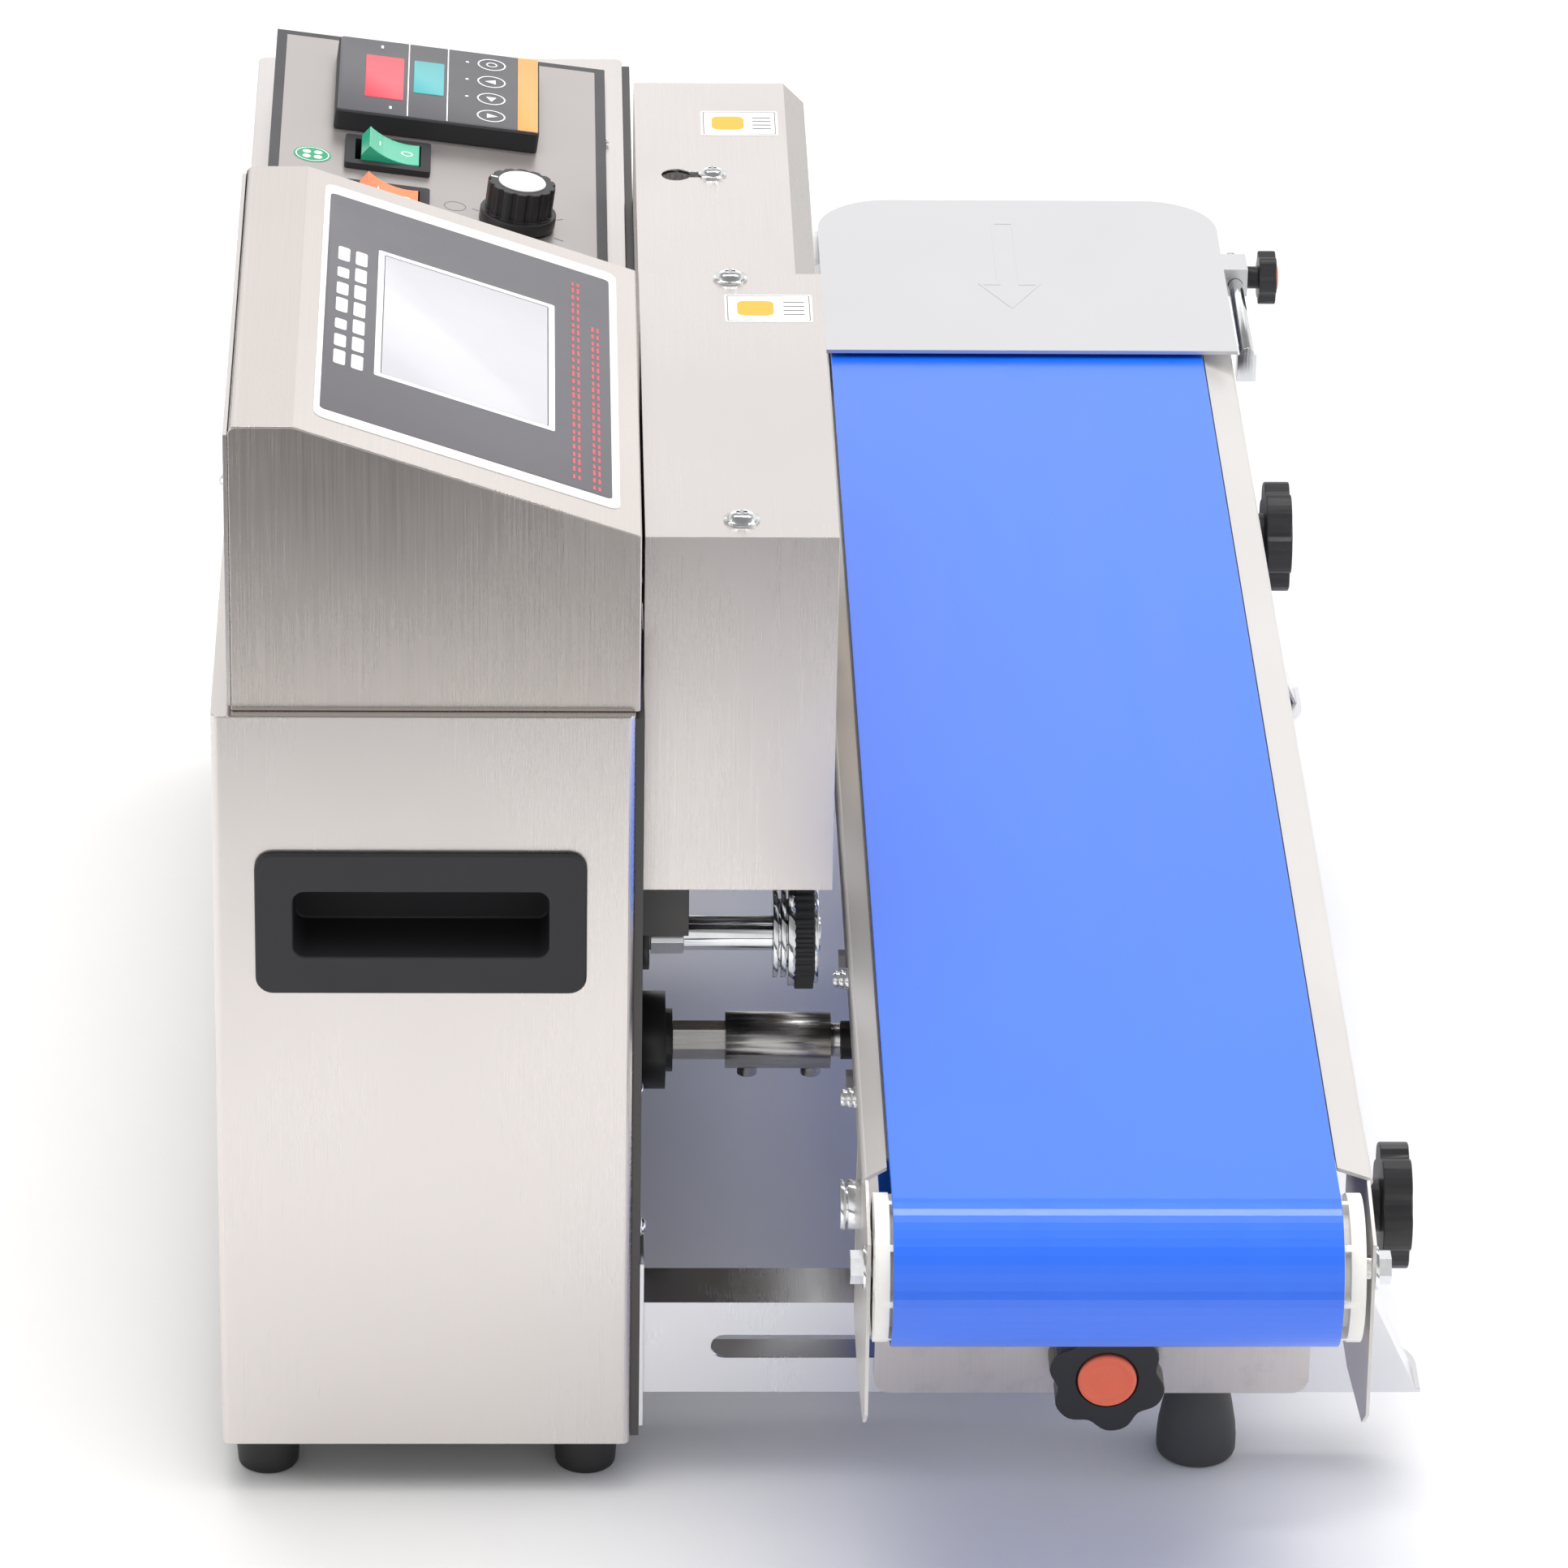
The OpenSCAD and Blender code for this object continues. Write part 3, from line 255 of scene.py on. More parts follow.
def belt_material():
    """Coated conveyor belt: a satin skin through which the cloth below just shows."""
    n = Nodes("belt_coating")
    space = n.object_space()
    clouds = n.noise(space, 3.5, 5)
    smears = n.noise(n.object_space((5, 40, 5)), 1, 5, 0.6)
    weave = n.add("TexVoronoi", feature="F1")
    weave.inputs["Scale"].default_value = 1
    weave.inputs["Randomness"].default_value = 0.12
    n.link(n.object_space(WEAVE_THREADS), weave.inputs["Vector"])
    grain = n.noise(space, 2200, 2, 0.6)
    both = n.math("ADD", n.math("MULTIPLY", clouds, 0.6), n.math("MULTIPLY", smears, 0.4))
    tint = n.mix(n.span(both, 0, 1), BELT_DARK, BELT_LIGHT)
    speck = n.add("TexVoronoi", feature="F1")
    speck.inputs["Scale"].default_value = 22
    n.link(space, speck.inputs["Vector"])
    dots = n.math("LESS_THAN", speck.outputs["Distance"], 0.012)
    tint = n.mix(n.math("MULTIPLY", dots, 0.75), tint, SPECK_COLOUR)
    gloss = n.math("ADD", n.span(both, 0.31, 0.37), n.span(smears, -0.02, 0.02))
    cloth = n.bump(weave.outputs["Distance"], 0.03, 0.0001)
    skin = n.bump(grain, 0.03, 0.00003, cloth)
    return n.set(Base_Color=tint, Roughness=gloss, Normal=skin, IOR=1.55, Specular_IOR_Level=0.7,
                 Coat_Weight=0.3, Coat_Roughness=0.12)


def weave_material(name, a, b, rough, threads):
    """Glass-cloth sealing band with its crossing threads."""
    n = Nodes(name)
    waves = []
    for turn in ((0, 0, 0), (0, math.pi / 2, 0)):
        wave = n.add("TexWave", wave_type="BANDS", bands_direction="X")
        wave.inputs["Scale"].default_value = threads
        n.link(n.object_space((1, 1, 1), turn), wave.inputs["Vector"])
        waves.append(wave.outputs["Fac"])
    cloth = n.math("MULTIPLY", *waves)
    clouds = n.noise(n.object_space(), 50, 4)
    tint = n.mix(n.span(n.math("ADD", cloth, clouds), 0, 1, 0.3, 1.4), a, b)
    return n.set(Base_Color=tint, Roughness=n.span(clouds, rough - 0.06, rough + 0.06),
                 Normal=n.bump(cloth, 0.3, 0.0001))


def film(name, colour, rough, spread=0.03, **rest):
    """Printed film: an even print with a faint mottle."""
    return plain(name, colour, rough, spread=spread, grain=1500, bump=0.05, cloud=30,
                 rough_spread=0.05, **rest)


MATERIALS = {
    "steel": brushed("sheet_steel", (0.70, 0.66, 0.64), 0.29, streak=0.35, spread=0.02, bump=0.02),
    "display": brushed("display_steel", (0.66, 0.61, 0.58), 0.28, streak=0.75, spread=0.05, bump=0.06),
    "rail": plain("rail_steel", (0.64, 0.62, 0.605), 0.42, 0.4, spread=0.05, cloud=9),
    "dark_steel": plain("dark_sheet", (0.085, 0.082, 0.08), 0.42, 0.7),
    "zinc": brushed("zinc_sheet", (0.74, 0.74, 0.76), 0.22, streak=0.25, cloud=14, blotch=0.08),
    "bolts": plain("zinc_bolts", (0.84, 0.85, 0.86), 0.17, 1.0, cloud=260, rough_spread=0.06),
    "chrome": turned("chromed", (0.80, 0.81, 0.82), 0.10, pitch=1200),
    "machined": turned("machined_steel", (0.62, 0.62, 0.63), 0.26),
    "black_plastic": plain("black_plastic", (0.016, 0.016, 0.018), 0.38, grain=1400, bump=0.2),
    "black_shell": plain("black_shell", (0.018, 0.018, 0.021), 0.55, grain=1700, bump=0.3),
    "rubber": plain("black_rubber", (0.014, 0.014, 0.015), 0.55, grain=700, bump=0.3),
    "grey_rubber": plain("grey_rubber", (0.045, 0.045, 0.050), 0.6, grain=700, bump=0.25),
    "panel_frame": plain("panel_frame", (0.040, 0.040, 0.045), 0.45, grain=1200),
    "panel_plate": plain("panel_plate", (0.48, 0.445, 0.435), 0.36, 0.75, spread=0.05, grain=1000),
    "green_rocker": plain("green_plastic", (0.04, 0.50, 0.30), 0.2, spread=0.1,
                          Transmission_Weight=0.15, Coat_Weight=0.3),
    "orange_rocker": plain("orange_plastic", (0.86, 0.18, 0.03), 0.25, spread=0.06, Coat_Weight=0.2),
    "motor": plain("motor_paint", (0.10, 0.115, 0.13), 0.45, grain=700),
    "brass": turned("brass", (0.70, 0.50, 0.24), 0.28, axis=0),
    "aluminium": turned("aluminium", (0.73, 0.74, 0.76), 0.3, axis=0),
    "seal_belt": weave_material("seal_band", (0.24, 0.15, 0.07), (0.45, 0.31, 0.17), 0.42, 380),
    "chain": plain("chain_steel", (0.10, 0.10, 0.10), 0.4, 0.9, grain=400, bump=0.5),
    "belt": belt_material(),
    "roller_plastic": plain("white_plastic", (0.80, 0.79, 0.755), 0.42, spread=0.04),
    "bed": brushed("bed_steel", (0.64, 0.60, 0.575), 0.34, cloud=12, dirt=0.25),
    "drawn": turned("drawn_steel", (0.50, 0.49, 0.48), 0.24, drawn=True),
    "feed_sheet": plain("feed_sheet", (0.60, 0.60, 0.615), 0.34, 0.55, spread=0.03, cloud=9),
    "white_print": film("white_print", (0.86, 0.86, 0.87), 0.4),
    "dark_print": film("dark_print", (0.105, 0.102, 0.115), 0.42),
    "face_print": film("face_print", (0.075, 0.075, 0.085), 0.38),
    "screen": film("lcd_screen", (0.52, 0.52, 0.56), 0.22, Coat_Weight=0.4),
    "red_print": film("red_print", (0.52, 0.09, 0.11), 0.45),
    "red_window": film("red_window", (0.60, 0.055, 0.085), 0.35, Coat_Weight=0.15),
    "teal_window": film("teal_window", (0.07, 0.40, 0.42), 0.35, Coat_Weight=0.15),
    "orange_print": film("orange_print", (0.90, 0.35, 0.10), 0.4),
    "amber_print": film("amber_print", (0.88, 0.38, 0.03), 0.4),
    "orange_cap": plain("orange_cap", (0.92, 0.17, 0.085), 0.33, spread=0.05),
    "green_print": film("green_print", (0.03, 0.30, 0.15), 0.45),
    "grey_print": film("grey_print", (0.20, 0.195, 0.20), 0.5),
}

# ---- CAD nodes: finishes and softened edges ----

FINISH = {
    "display_box": "display", "left_rail": "rail", "right_rail": "rail", "machine_screws": "bolts",
    "conveyor_bolts": "bolts", "near_grip": "black_shell", "far_grip": "black_shell",
    "rocker_bezels": "black_shell", "controller_case": "black_shell", "coupling_sleeve": "drawn",
    "conveyor_shaft": "drawn",
}
DEFAULT_EDGE = 0.2                       # bevel widths in millimetres
EDGE = {
    "cabinet_shell": 0.5, "display_box": 0.7, "guard_near": 0.5, "guard_far": 0.5, "near_grip": 0.8,
    "far_grip": 0.8, "cabinet_feet": 0.8, "bracket_feet": 0.8, "panel_frame": 0.6,
    "controller_case": 0.5, "near_star_knob": 0.9, "far_star_knob": 0.9, "near_side_knob": 0.9,
    "far_side_knob": 0.9, "feed_knob": 0.5, "speed_knob": 0.4, "gear_motor": 1.0,
    "conveyor_belt": 0.25, "upper_seal_belt": 0.12, "lower_seal_belt": 0.12, "near_roller": 0.35,
    "far_roller": 0.35, "rocker_bezels": 0.4, "power_rocker": 0.4, "heat_rocker": 0.4,
}


def soften(obj, width):
    """Joins a node's points, merges its flat faces and bevels its edges."""
    weld = obj.modifiers.new("weld", "WELD")
    weld.merge_threshold = 0.000004
    flat = obj.modifiers.new("flat_faces", "DECIMATE")
    flat.decimate_type = "DISSOLVE"
    flat.angle_limit = FLAT_ANGLE
    bevel = obj.modifiers.new("edges", "BEVEL")
    bevel.width = width * MM
    bevel.segments = 2
    bevel.limit_method = "ANGLE"
    bevel.angle_limit = BEVEL_ANGLE
    bevel.harden_normals = True
    bevel.miter_outer = "MITER_ARC"


slots = {part["node"]: part["material_slot"] for part in frame["record"]["subparts"]}
for name, obj in frame["nodes"].items():
    obj.data.materials.clear()
    obj.data.materials.append(MATERIALS[FINISH.get(name, slots[name])])
    soften(obj, EDGE.get(name, DEFAULT_EDGE))

# ---- Outlines, in millimetres ----


def arc(cx, cy, r, a0, a1, n):
    """Points of an arc from angle a0 to a1, in degrees."""
    steps = [math.radians(a0 + (a1 - a0) * i / n) for i in range(n + 1)]
    return [(cx + r * math.cos(a), cy + r * math.sin(a)) for a in steps]


def rect(x0, y0, x1, y1, r=0.0, n=5):
    """Outline of a rectangle, with its corners rounded to r."""
    if r <= 0:
        return [(x0, y0), (x1, y0), (x1, y1), (x0, y1)]
    return (arc(x1 - r, y0 + r, r, -90, 0, n) + arc(x1 - r, y1 - r, r, 0, 90, n)
            + arc(x0 + r, y1 - r, r, 90, 180, n) + arc(x0 + r, y0 + r, r, 180, 270, n))


def disc(cx, cy, r, n=40):
    """Outline of a circle."""
    return arc(cx, cy, r, 0, 360, n)[:-1]


class Piece:
    """A new piece made of closed solids in the millimetres of one face."""

    def __init__(self, name, matrix, body, slot, material):
        self.bm = bmesh.new()
        self.name = name
        self.matrix = matrix
        self.body = body
        self.slot = slot
        self.material = MATERIALS[material]

    def slab(self, outline, z0, z1, edge=0.0, hole=None):
        """Prism between z0 and z1, its upper rim softened by edge. A hole has as many points."""
        rings = [[self.bm.verts.new((x, y, z0)) for x, y in outline]]
        if hole is not None:
            top = [self.bm.verts.new((x, y, z1)) for x, y in outline]
            inner = [[self.bm.verts.new((x, y, z)) for x, y in hole] for z in (z0, z1)]
            count = len(outline)
            loops = [(rings[0], top), (top, inner[1]), (inner[1], inner[0]), (inner[0], rings[0])]
            for low, high in loops:
                for i in range(count):
                    j = (i + 1) % count
                    self.bm.faces.new((low[i], low[j], high[j], high[i]))
            return self
        cx = sum(p[0] for p in outline) / len(outline)
        cy = sum(p[1] for p in outline) / len(outline)
        half = max(max(abs(x - cx), abs(y - cy)) for x, y in outline)
        for lift, inset in ((edge, 0), (edge * 0.3, edge * 0.3), (0, edge)) if edge else ((0, 0),):
            k = 1 - inset / half
            rings.append([self.bm.verts.new((cx + (x - cx) * k, cy + (y - cy) * k, z1 - lift))
                          for x, y in outline])
        for low, high in zip(rings, rings[1:]):
            for i in range(len(outline)):
                j = (i + 1) % len(outline)
                self.bm.faces.new((low[i], low[j], high[j], high[i]))
        self.bm.faces.new(list(reversed(rings[0])))
        self.bm.faces.new(rings[-1])
        return self

    def ring(self, cx, cy, r0, r1, z0, z1, n=40):
        """Flat ring between the radii r0 and r1."""
        return self.slab(disc(cx, cy, r1, n), z0, z1, hole=disc(cx, cy, r0, n))

    def lathe(self, profile, n=48):
        """Solid turned about the local z axis from (radius, height) pairs, closed on the axis."""
        rings = []
        for r, z in profile:
            if r <= 0:
                rings.append([self.bm.verts.new((0, 0, z))])
            else:
                rings.append([self.bm.verts.new((x, y, z)) for x, y in disc(0, 0, r, n)])
        for low, high in zip(rings, rings[1:]):
            for i in range(n):
                j = (i + 1) % n
                if len(low) == 1:
                    self.bm.faces.new((low[0], high[j], high[i]))
                elif len(high) == 1:
                    self.bm.faces.new((low[i], low[j], high[0]))
                else:
                    self.bm.faces.new((low[i], low[j], high[j], high[i]))
        return self

    def bend(self, height):
        """Lifts every point by height(x, y)."""
        for v in self.bm.verts:
            v.co.z += height(v.co.x, v.co.y)
        return self

    def done(self):
        """Makes the object and ties it to its body."""
        bmesh.ops.recalc_face_normals(self.bm, faces=self.bm.faces)
        for v in self.bm.verts:
            v.co *= MM
        mesh = bpy.data.meshes.new(self.name)
        self.bm.to_mesh(mesh)
        self.bm.free()
        for polygon in mesh.polygons:
            polygon.use_smooth = True
        mesh.set_sharp_from_angle(angle=SHARP_ANGLE)
        mesh.materials.append(self.material)
        obj = bpy.data.objects.new(self.name, mesh)
        bpy.context.scene.collection.objects.link(obj)
        obj.matrix_world = self.matrix
        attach(obj, self.body)
        return obj


# ---- Counter's label on the sloping face ----

box_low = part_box("display_box")[0]
LABEL = basis(Vector((box_low.x, box_low.y, box_low.z + LABEL_RISE * MM)), (1, 0, 0),
              (0, math.cos(SLOPE), math.sin(SLOPE)))

Piece("label_film", LABEL, "frame", "roller_plastic", "white_print").slab(
    rect(14.5, 7.7, 209.5, 116.5, 4), -0.1, 0.30, 0.12).done()
Piece("label_field", LABEL, "frame", "panel_frame", "dark_print").slab(
    rect(21, 10.5, 202, 114.5, 2), 0.2, 0.42, 0.08).done()
Piece("label_screen_border", LABEL, "frame", "roller_plastic", "white_print").slab(
    rect(60.5, 31, 165, 96, 0.8), 0.35, 0.56, hole=rect(63, 33.2, 162.5, 93.8, 0.8)).done()
Piece("label_screen", LABEL, "frame", "feed_sheet", "screen").slab(
    rect(63.4, 33.6, 162.1, 93.4, 0.6), 0.3, 0.50, 0.1).done()

marks = Piece("label_title_bars", LABEL, "frame", "roller_plastic", "white_print")
for i in range(7):
    u = 60 + 14.4 * i
    for v0, v1, short in ((100.0, 104.2, 0), (106.4, 110.6, 1.6 * (i % 3))):
        marks.slab(rect(u + 0.4, v0, u + 11.6 - short, v1, 0.9), 0.35, 0.50)
marks.done()

notes = Piece("label_note_bars", LABEL, "frame", "orange_rocker", "red_print")
for v, u0, u1, step in ((23.4, 28, 195, 5.9), (16.2, 24, 161, 5.6)):
    for i in range(int((u1 - u0) / step)):
        u = u0 + i * step
        length = step * (0.55 + 0.2 * ((i * 7) % 3) / 2)
        for dv in (-1.15, 0.75):
            notes.slab(rect(u, v + dv - 0.45, u + length, v + dv + 0.45, 0.2, 2), 0.35, 0.48)
notes.done()

# ---- Temperature controller's face ----

face = panel_at(*CONTROLLER) @ Matrix.Translation((0, 0, CASE_HEIGHT * MM))
Piece("controller_face", face, "frame", "panel_frame", "face_print").slab(
    rect(-36.4, -38.9, 36.4, 38.9, 1.6), -0.2, 0.6, 0.25).done()
Piece("controller_strip", face, "frame", "orange_rocker", "orange_print").slab(
    rect(-36.2, -38.8, 36.2, -31, 0.6), 0.3, 0.75, 0.1).done()
Piece("controller_red_window", face, "frame", "orange_rocker", "red_window").slab(
    rect(-21.5, 13.7, 20.5, 28.7, 0.7), 0.3, 0.80, 0.15).done()
Piece("controller_teal_window", face, "frame", "green_rocker", "teal_window").slab(
    rect(-12, -2, 20, 9.8, 0.7), 0.3, 0.80, 0.15).done()
KEY_ROW = -20.6
LAMP_ROW = -11
MARK_LOW = 0.4                           # under and top of the marks over the controller's case
MARK_TOP = 0.74
keys = Piece("controller_marks", face, "frame", "roller_plastic", "white_print")
for v in (11.9, -3.5):
    keys.slab(rect(-36, v - 0.22, 36, v + 0.22), MARK_LOW, 0.70)
for i, u in enumerate((25.4, 8.2, -8.9, -25.8)):
    keys.ring(u, KEY_ROW, 5.0, 5.55, MARK_LOW, MARK_TOP)
    if i == 0:
        keys.ring(u, KEY_ROW, 1.7, 2.2, MARK_LOW, MARK_TOP, 24)
    else:
        angle = math.radians(90 * i)
        tip = [(u + 2.6 * math.cos(angle + k), KEY_ROW + 2.6 * math.sin(angle + k))
               for k in (0, 2.25, -2.25)]
        keys.slab(tip, MARK_LOW, MARK_TOP)
for u in (25.4, 8.2, -8.9):
    keys.slab(disc(u, LAMP_ROW, 0.7, 16), MARK_LOW, MARK_TOP)
keys.slab(rect(-31, 18, -28.6, 19, 0.3), MARK_LOW, MARK_TOP)
keys.slab(rect(28.4, 22, 31, 23, 0.3), MARK_LOW, MARK_TOP)
keys.done()

# ---- Rockers, speed knob and panel prints ----


def rocker_height(x, y):
    """Height of a rocker's trough above its pivot."""
    return 6 + ROCKER_RADIUS - math.sqrt(ROCKER_RADIUS * ROCKER_RADIUS - y * y)


for name, x, slot in (("power", 445.5, "green_rocker"), ("heat", 402, "orange_rocker")):
    pivot = panel_at(x, ROCKER_Y) @ Matrix.Translation((0, 0, -2 * MM))
    tipped = pivot @ Matrix.Rotation(ROCKER_TILT, 4, "X")
    sign = Piece(name + "_rocker_marks", tipped, name + "_rocker", "roller_plastic", "white_print")
    sign.ring(0, -5.6, 1.7, 2.25, -0.1, 0.10, 28)
    sign.slab(rect(-1.8, 5.2, 1.8, 5.8, 0.25), -0.1, 0.10)
    sign.bend(rocker_height).done()

knob = panel_at(*SPEED_KNOB)
cap = Piece("speed_knob_cap", knob, "speed_knob", "roller_plastic", "white_print")
cap.lathe([(0, 17), (9.0, 17), (9.0, 17.8), (8.6, 18.25), (6, 18.5), (0, 18.6)]).done()
turn = knob @ Matrix.Rotation(math.radians(78), 4, "Z")
Piece("speed_knob_pointer", turn, "speed_knob", "roller_plastic", "white_print").slab(
    rect(9.5, -0.5, 12.2, 0.5, 0.2), 17.3, 17.65).done()
Piece("speed_knob_pointer_side", turn, "speed_knob", "orange_rocker", "red_print").slab(
    rect(12.6, -0.6, 13.0, 0.6, 0.1), 8, 17).done()
DIAL_START = 16.6                        # radius where the dial's strokes start
STROKE = 0.25                            # half a stroke's width
dial = Piece("dial_prints", knob, "frame", "panel_frame", "grey_print")
for i in range(11):
    a = math.radians(-60 + 30 * i)
    c, s = math.cos(a), math.sin(a)
    stop = 20.6 if i % 5 == 0 else 19.4
    ends = ((DIAL_START, 1), (stop, 1), (stop, -1), (DIAL_START, -1))
    dial.slab([(r * c + k * STROKE * s, r * s - k * STROKE * c) for r, k in ends], -0.1, 0.06)
dial.ring(10, 23.5, 3.9, 4.3, -0.1, 0.06)
dial.done()

sticker = panel_at(440.5, 119.5)
Piece("panel_sticker", sticker, "frame", "green_rocker", "green_print").slab(
    disc(0, 0, 7.2), -0.1, 0.12).done()
dots = Piece("panel_sticker_dots", sticker, "frame", "roller_plastic", "white_print")
for a in (45, 135, 225, 315):
    c, s = math.cos(math.radians(a)), math.sin(math.radians(a))
    dots.slab(disc(3.1 * c, 3.1 * s, 1.6, 20), 0.05, 0.18)
dots.ring(0, 0, 6.1, 6.5, 0.05, 0.18)
dots.done()

# ---- Plain labels on the guards ----

for name, x0, x1, y0, y1, guard in (("near", 212.5, 236, -65, -33.6, "guard_near"),
                                    ("far", 392, 415, -57, -28, "guard_far")):
    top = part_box(guard)[1].z / MM
    spot = basis(at((x0 + x1) / 2, (y0 + y1) / 2, top), (0, -1, 0), (1, 0, 0))
    w, h = (y1 - y0) / 2, (x1 - x0) / 2
    Piece(name + "_guard_label", spot, "frame", "roller_plastic", "white_print").slab(
        rect(-w, -h, w, h, 0.8), -0.1, 0.15, 0.05).done()
    Piece(name + "_guard_label_frame", spot, "frame", "panel_frame", "grey_print").slab(
        rect(-w + 0.8, -h + 0.8, w - 0.8, h - 0.8, 0.5), 0.05, 0.20,
        hole=rect(-w + 1.2, -h + 1.2, w - 1.2, h - 1.2, 0.5)).done()
    Piece(name + "_guard_label_patch", spot, "frame", "orange_rocker", "amber_print").slab(
        rect(-w * 0.72, -h * 0.55, w * 0.12, h * 0.55, 3), 0.05, 0.21).done()
    bars = Piece(name + "_guard_label_bars", spot, "frame", "panel_frame", "grey_print")
    for i in range(4):
        v = -h * 0.5 + i * h * 0.3
        bars.slab(rect(w * 0.34, v, w * 0.82, v + 1), 0.05, 0.21)
    bars.done()

# ---- Bush on the conveyor's drive shaft ----

BUSH_PLACE = (130, -76.8, 111.5)
bush = Piece("drive_bush", basis(at(*BUSH_PLACE), (1, 0, 0), (0, 0, 1)), "drive_roller",
             "black_plastic", "black_plastic")
bush.ring(0, 0, 6.62, 7.0, 0, 5.2).done()

# ---- Caps in the knobs' faces ----


def knob_cap(name, centre, u, v, body, r, material, slot):
    """Domed cap in the recess of a lobed knob."""
    piece = Piece(name, basis(centre, u, v), body, slot, material)
    piece.lathe([(0, -1.0), (r, -1.0), (r, 0.3), (r - 0.4, 0.8), (r - 1.0, 1.0), (r * 0.80, 0.9),
                 (r * 0.70, 0.55), (r * 0.62, 0.35), (r * 0.56, 0.45), (r * 0.3, 0.6), (0, 0.65)])
    piece.done()


STAR_KNOB_YZ = (-167, 55)
SIDE_KNOB_Z = 152
FEED_KNOB_XZ = (650, 183)
for end, sign in (("near", -1), ("far", 1)):
    low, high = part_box(end + "_star_knob")
    centre = at(0, *STAR_KNOB_YZ)
    centre.x = low.x if sign < 0 else high.x
    knob_cap(end + "_star_knob_cap", centre, (0, sign, 0), (0, 0, 1), end + "_star_knob", 10.3,
             "orange_cap", "orange_rocker")
for end, x in (("near", -58.5), ("far", 468)):
    centre = at(x, 0, SIDE_KNOB_Z)
    centre.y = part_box(end + "_side_knob")[0].y
    knob_cap(end + "_side_knob_cap", centre, (1, 0, 0), (0, 0, 1), end + "_side_knob", 11.0,
             "black_plastic", "black_plastic")
centre = at(FEED_KNOB_XZ[0], 0, FEED_KNOB_XZ[1])
centre.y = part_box("feed_knob")[0].y
knob_cap("feed_knob_cap", centre, (1, 0, 0), (0, 0, 1), "feed_knob", 5.5, "orange_cap",
         "orange_rocker")

# ---- Arrow pressed into the feed plate ----

plate_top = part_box("feed_plate")[1].z / MM
arrow = Piece("feed_plate_arrow", basis(at(645, -160, plate_top), (-1, 0, 0), (0, -1, 0)),
              "feed_plate", "feed_sheet", "feed_sheet")
outer = [(-44, -5), (18, -5), (18, -13), (43, 0), (18, 13), (18, 5), (-44, 5)]
inner = [(-42.6, -3.6), (19.4, -3.6), (19.4, -10.8), (40.2, 0), (19.4, 10.8), (19.4, 3.6), (-42.6, 3.6)]
arrow.slab(outer, -0.1, 0.12, hole=inner).done()

# ---- Floor, light and camera ----


def make_plane(name, size, centre, material):
    """Flat sheet of the stage, facing up."""
    mesh = bpy.data.meshes.new(name)
    x, y = size[0] / 2, size[1] / 2
    mesh.from_pydata([(-x, -y, 0), (x, -y, 0), (x, y, 0), (-x, y, 0)], [], [(0, 1, 2, 3)])
    mesh.materials.append(material)
    obj = bpy.data.objects.new(name, mesh)
    bpy.context.scene.collection.objects.link(obj)
    obj.location = centre
    return obj


FLOOR_DROP = -0.0003                     # just under the feet, so the faces don't coincide
floor_look = plain("floor_paper", (0.90, 0.90, 0.90), 0.75, spread=0.01, grain=300, bump=0.02)
make_plane("floor", (30, 30), (0, 0, FLOOR_DROP), floor_look)

# A dark card on the floor in front, seen only in the reflections of the lower faces.
card_look = plain("card_paper", (0.10, 0.10, 0.105), 0.8, spread=0.02, grain=300, bump=0.02)
card = make_plane("card", (1.9, 3.2), tuple(at(-1570, 36, 4)), card_look)
card.visible_camera = False
card.visible_shadow = False
card.visible_diffuse = False


def softbox(name, place, target, size, power, colour=(1, 1, 1)):
    """Rectangular light aimed at a target."""
    light = bpy.data.lights.new(name, "AREA")
    light.shape = "RECTANGLE"
    light.size, light.size_y = size
    light.energy = power
    light.color = colour
    obj = bpy.data.objects.new(name, light)
    obj.location = place
    aim = Vector(target) - Vector(place)
    obj.rotation_euler = aim.to_track_quat("-Z", "Y").to_euler()
    bpy.context.scene.collection.objects.link(obj)
    return obj


KEY_COLOUR = (1, 0.985, 0.97)
MIDDLE = (0, 0, 0.2)
key = softbox("key_light", (-0.4, -0.2, 2.8), (-0.2, 0, 0.1), (3.0, 3.0), 77, KEY_COLOUR)
key.visible_glossy = False
softbox("left_light", (-0.6, 2.6, 1.5), MIDDLE, (1.8, 1.4), 8)
softbox("right_light", (-0.4, -2.8, 1.4), MIDDLE, (1.8, 1.4), 9)
softbox("back_light", (3.4, 0, 1.75), MIDDLE, (3.4, 1.5), 7.6)
softbox("strip_light", (0.82, -0.2, 2.48), (-0.4, -0.2, 0.2), (3.0, 0.25), 24)

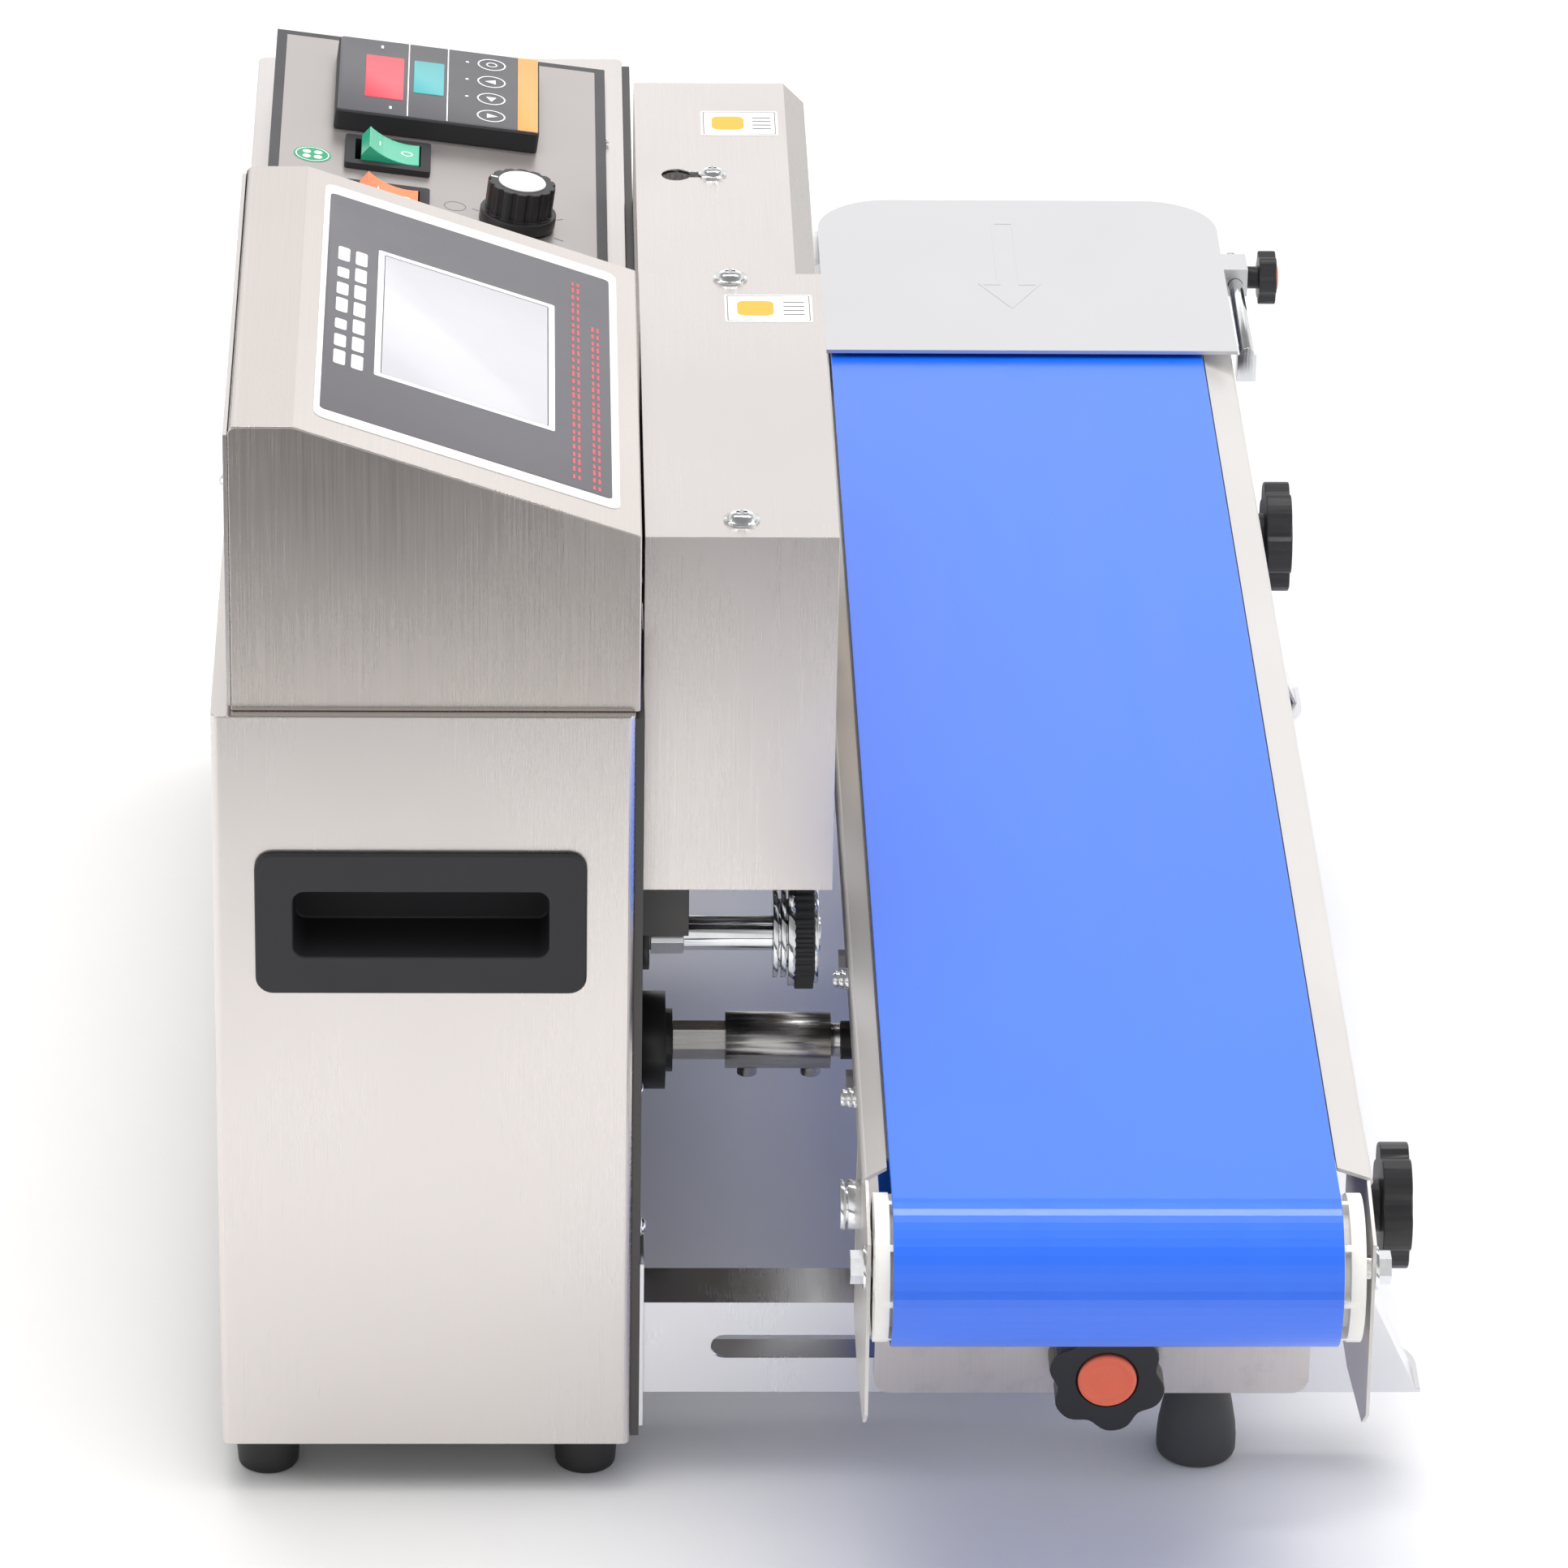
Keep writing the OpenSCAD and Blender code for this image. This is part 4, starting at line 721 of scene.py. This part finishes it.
# The room's brightness by height, as grey levels from straight down to straight up.
RAMP_TOP = 0.8
RAMP_ENDS = ((0, 1.0), (-1, 0.28))
RAMP_BETWEEN = ((0.34, 0.94), (0.45, 0.80), (0.62, 0.38))

world = bpy.data.worlds.new("studio")
bpy.context.scene.world = world
world.use_nodes = True
tree = world.node_tree
sky = tree.nodes["Background"]
coords = tree.nodes.new("ShaderNodeTexCoord")
split = tree.nodes.new("ShaderNodeSeparateXYZ")
ramp = tree.nodes.new("ShaderNodeValToRGB")
tree.links.new(coords.outputs["Generated"], split.inputs[0])
tree.links.new(split.outputs["Z"], ramp.inputs[0])
tree.links.new(ramp.outputs["Color"], sky.inputs["Color"])
ramp.color_ramp.elements[1].position = RAMP_TOP
for place, grey in RAMP_BETWEEN:
    ramp.color_ramp.elements.new(place).color = (grey, grey, grey, 1)
for end, grey in RAMP_ENDS:
    ramp.color_ramp.elements[end].color = (grey, grey, grey, 1)
sky.inputs["Strength"].default_value = 1.0

CAMERA_LENS = 197.94
CAMERA_SENSOR = 36
CAMERA_ANGLES = (1.907, 27.301, 1.008)    # yaw, pitch and roll in degrees
CAMERA_PLACE = (-2600.65, 36.22, 1626.02)

camera_data = bpy.data.cameras.new("camera")
camera_data.lens = CAMERA_LENS
camera_data.sensor_width = CAMERA_SENSOR
camera_data.clip_end = 50
camera = bpy.data.objects.new("camera", camera_data)
bpy.context.scene.collection.objects.link(camera)
yaw, pitch, roll = (math.radians(a) for a in CAMERA_ANGLES)
ahead = Vector((math.cos(pitch) * math.cos(yaw), -math.cos(pitch) * math.sin(yaw), -math.sin(pitch)))
right = ahead.cross(Vector((0, 0, 1))).normalized()
up = right.cross(ahead)
axes = (right * math.cos(roll) + up * math.sin(roll), up * math.cos(roll) - right * math.sin(roll),
        -ahead)
pose = Matrix(axes).transposed().to_4x4()
pose.translation = at(*CAMERA_PLACE)
camera.matrix_world = pose
bpy.context.scene.camera = camera
bpy.context.scene.view_settings.view_transform = "Standard"
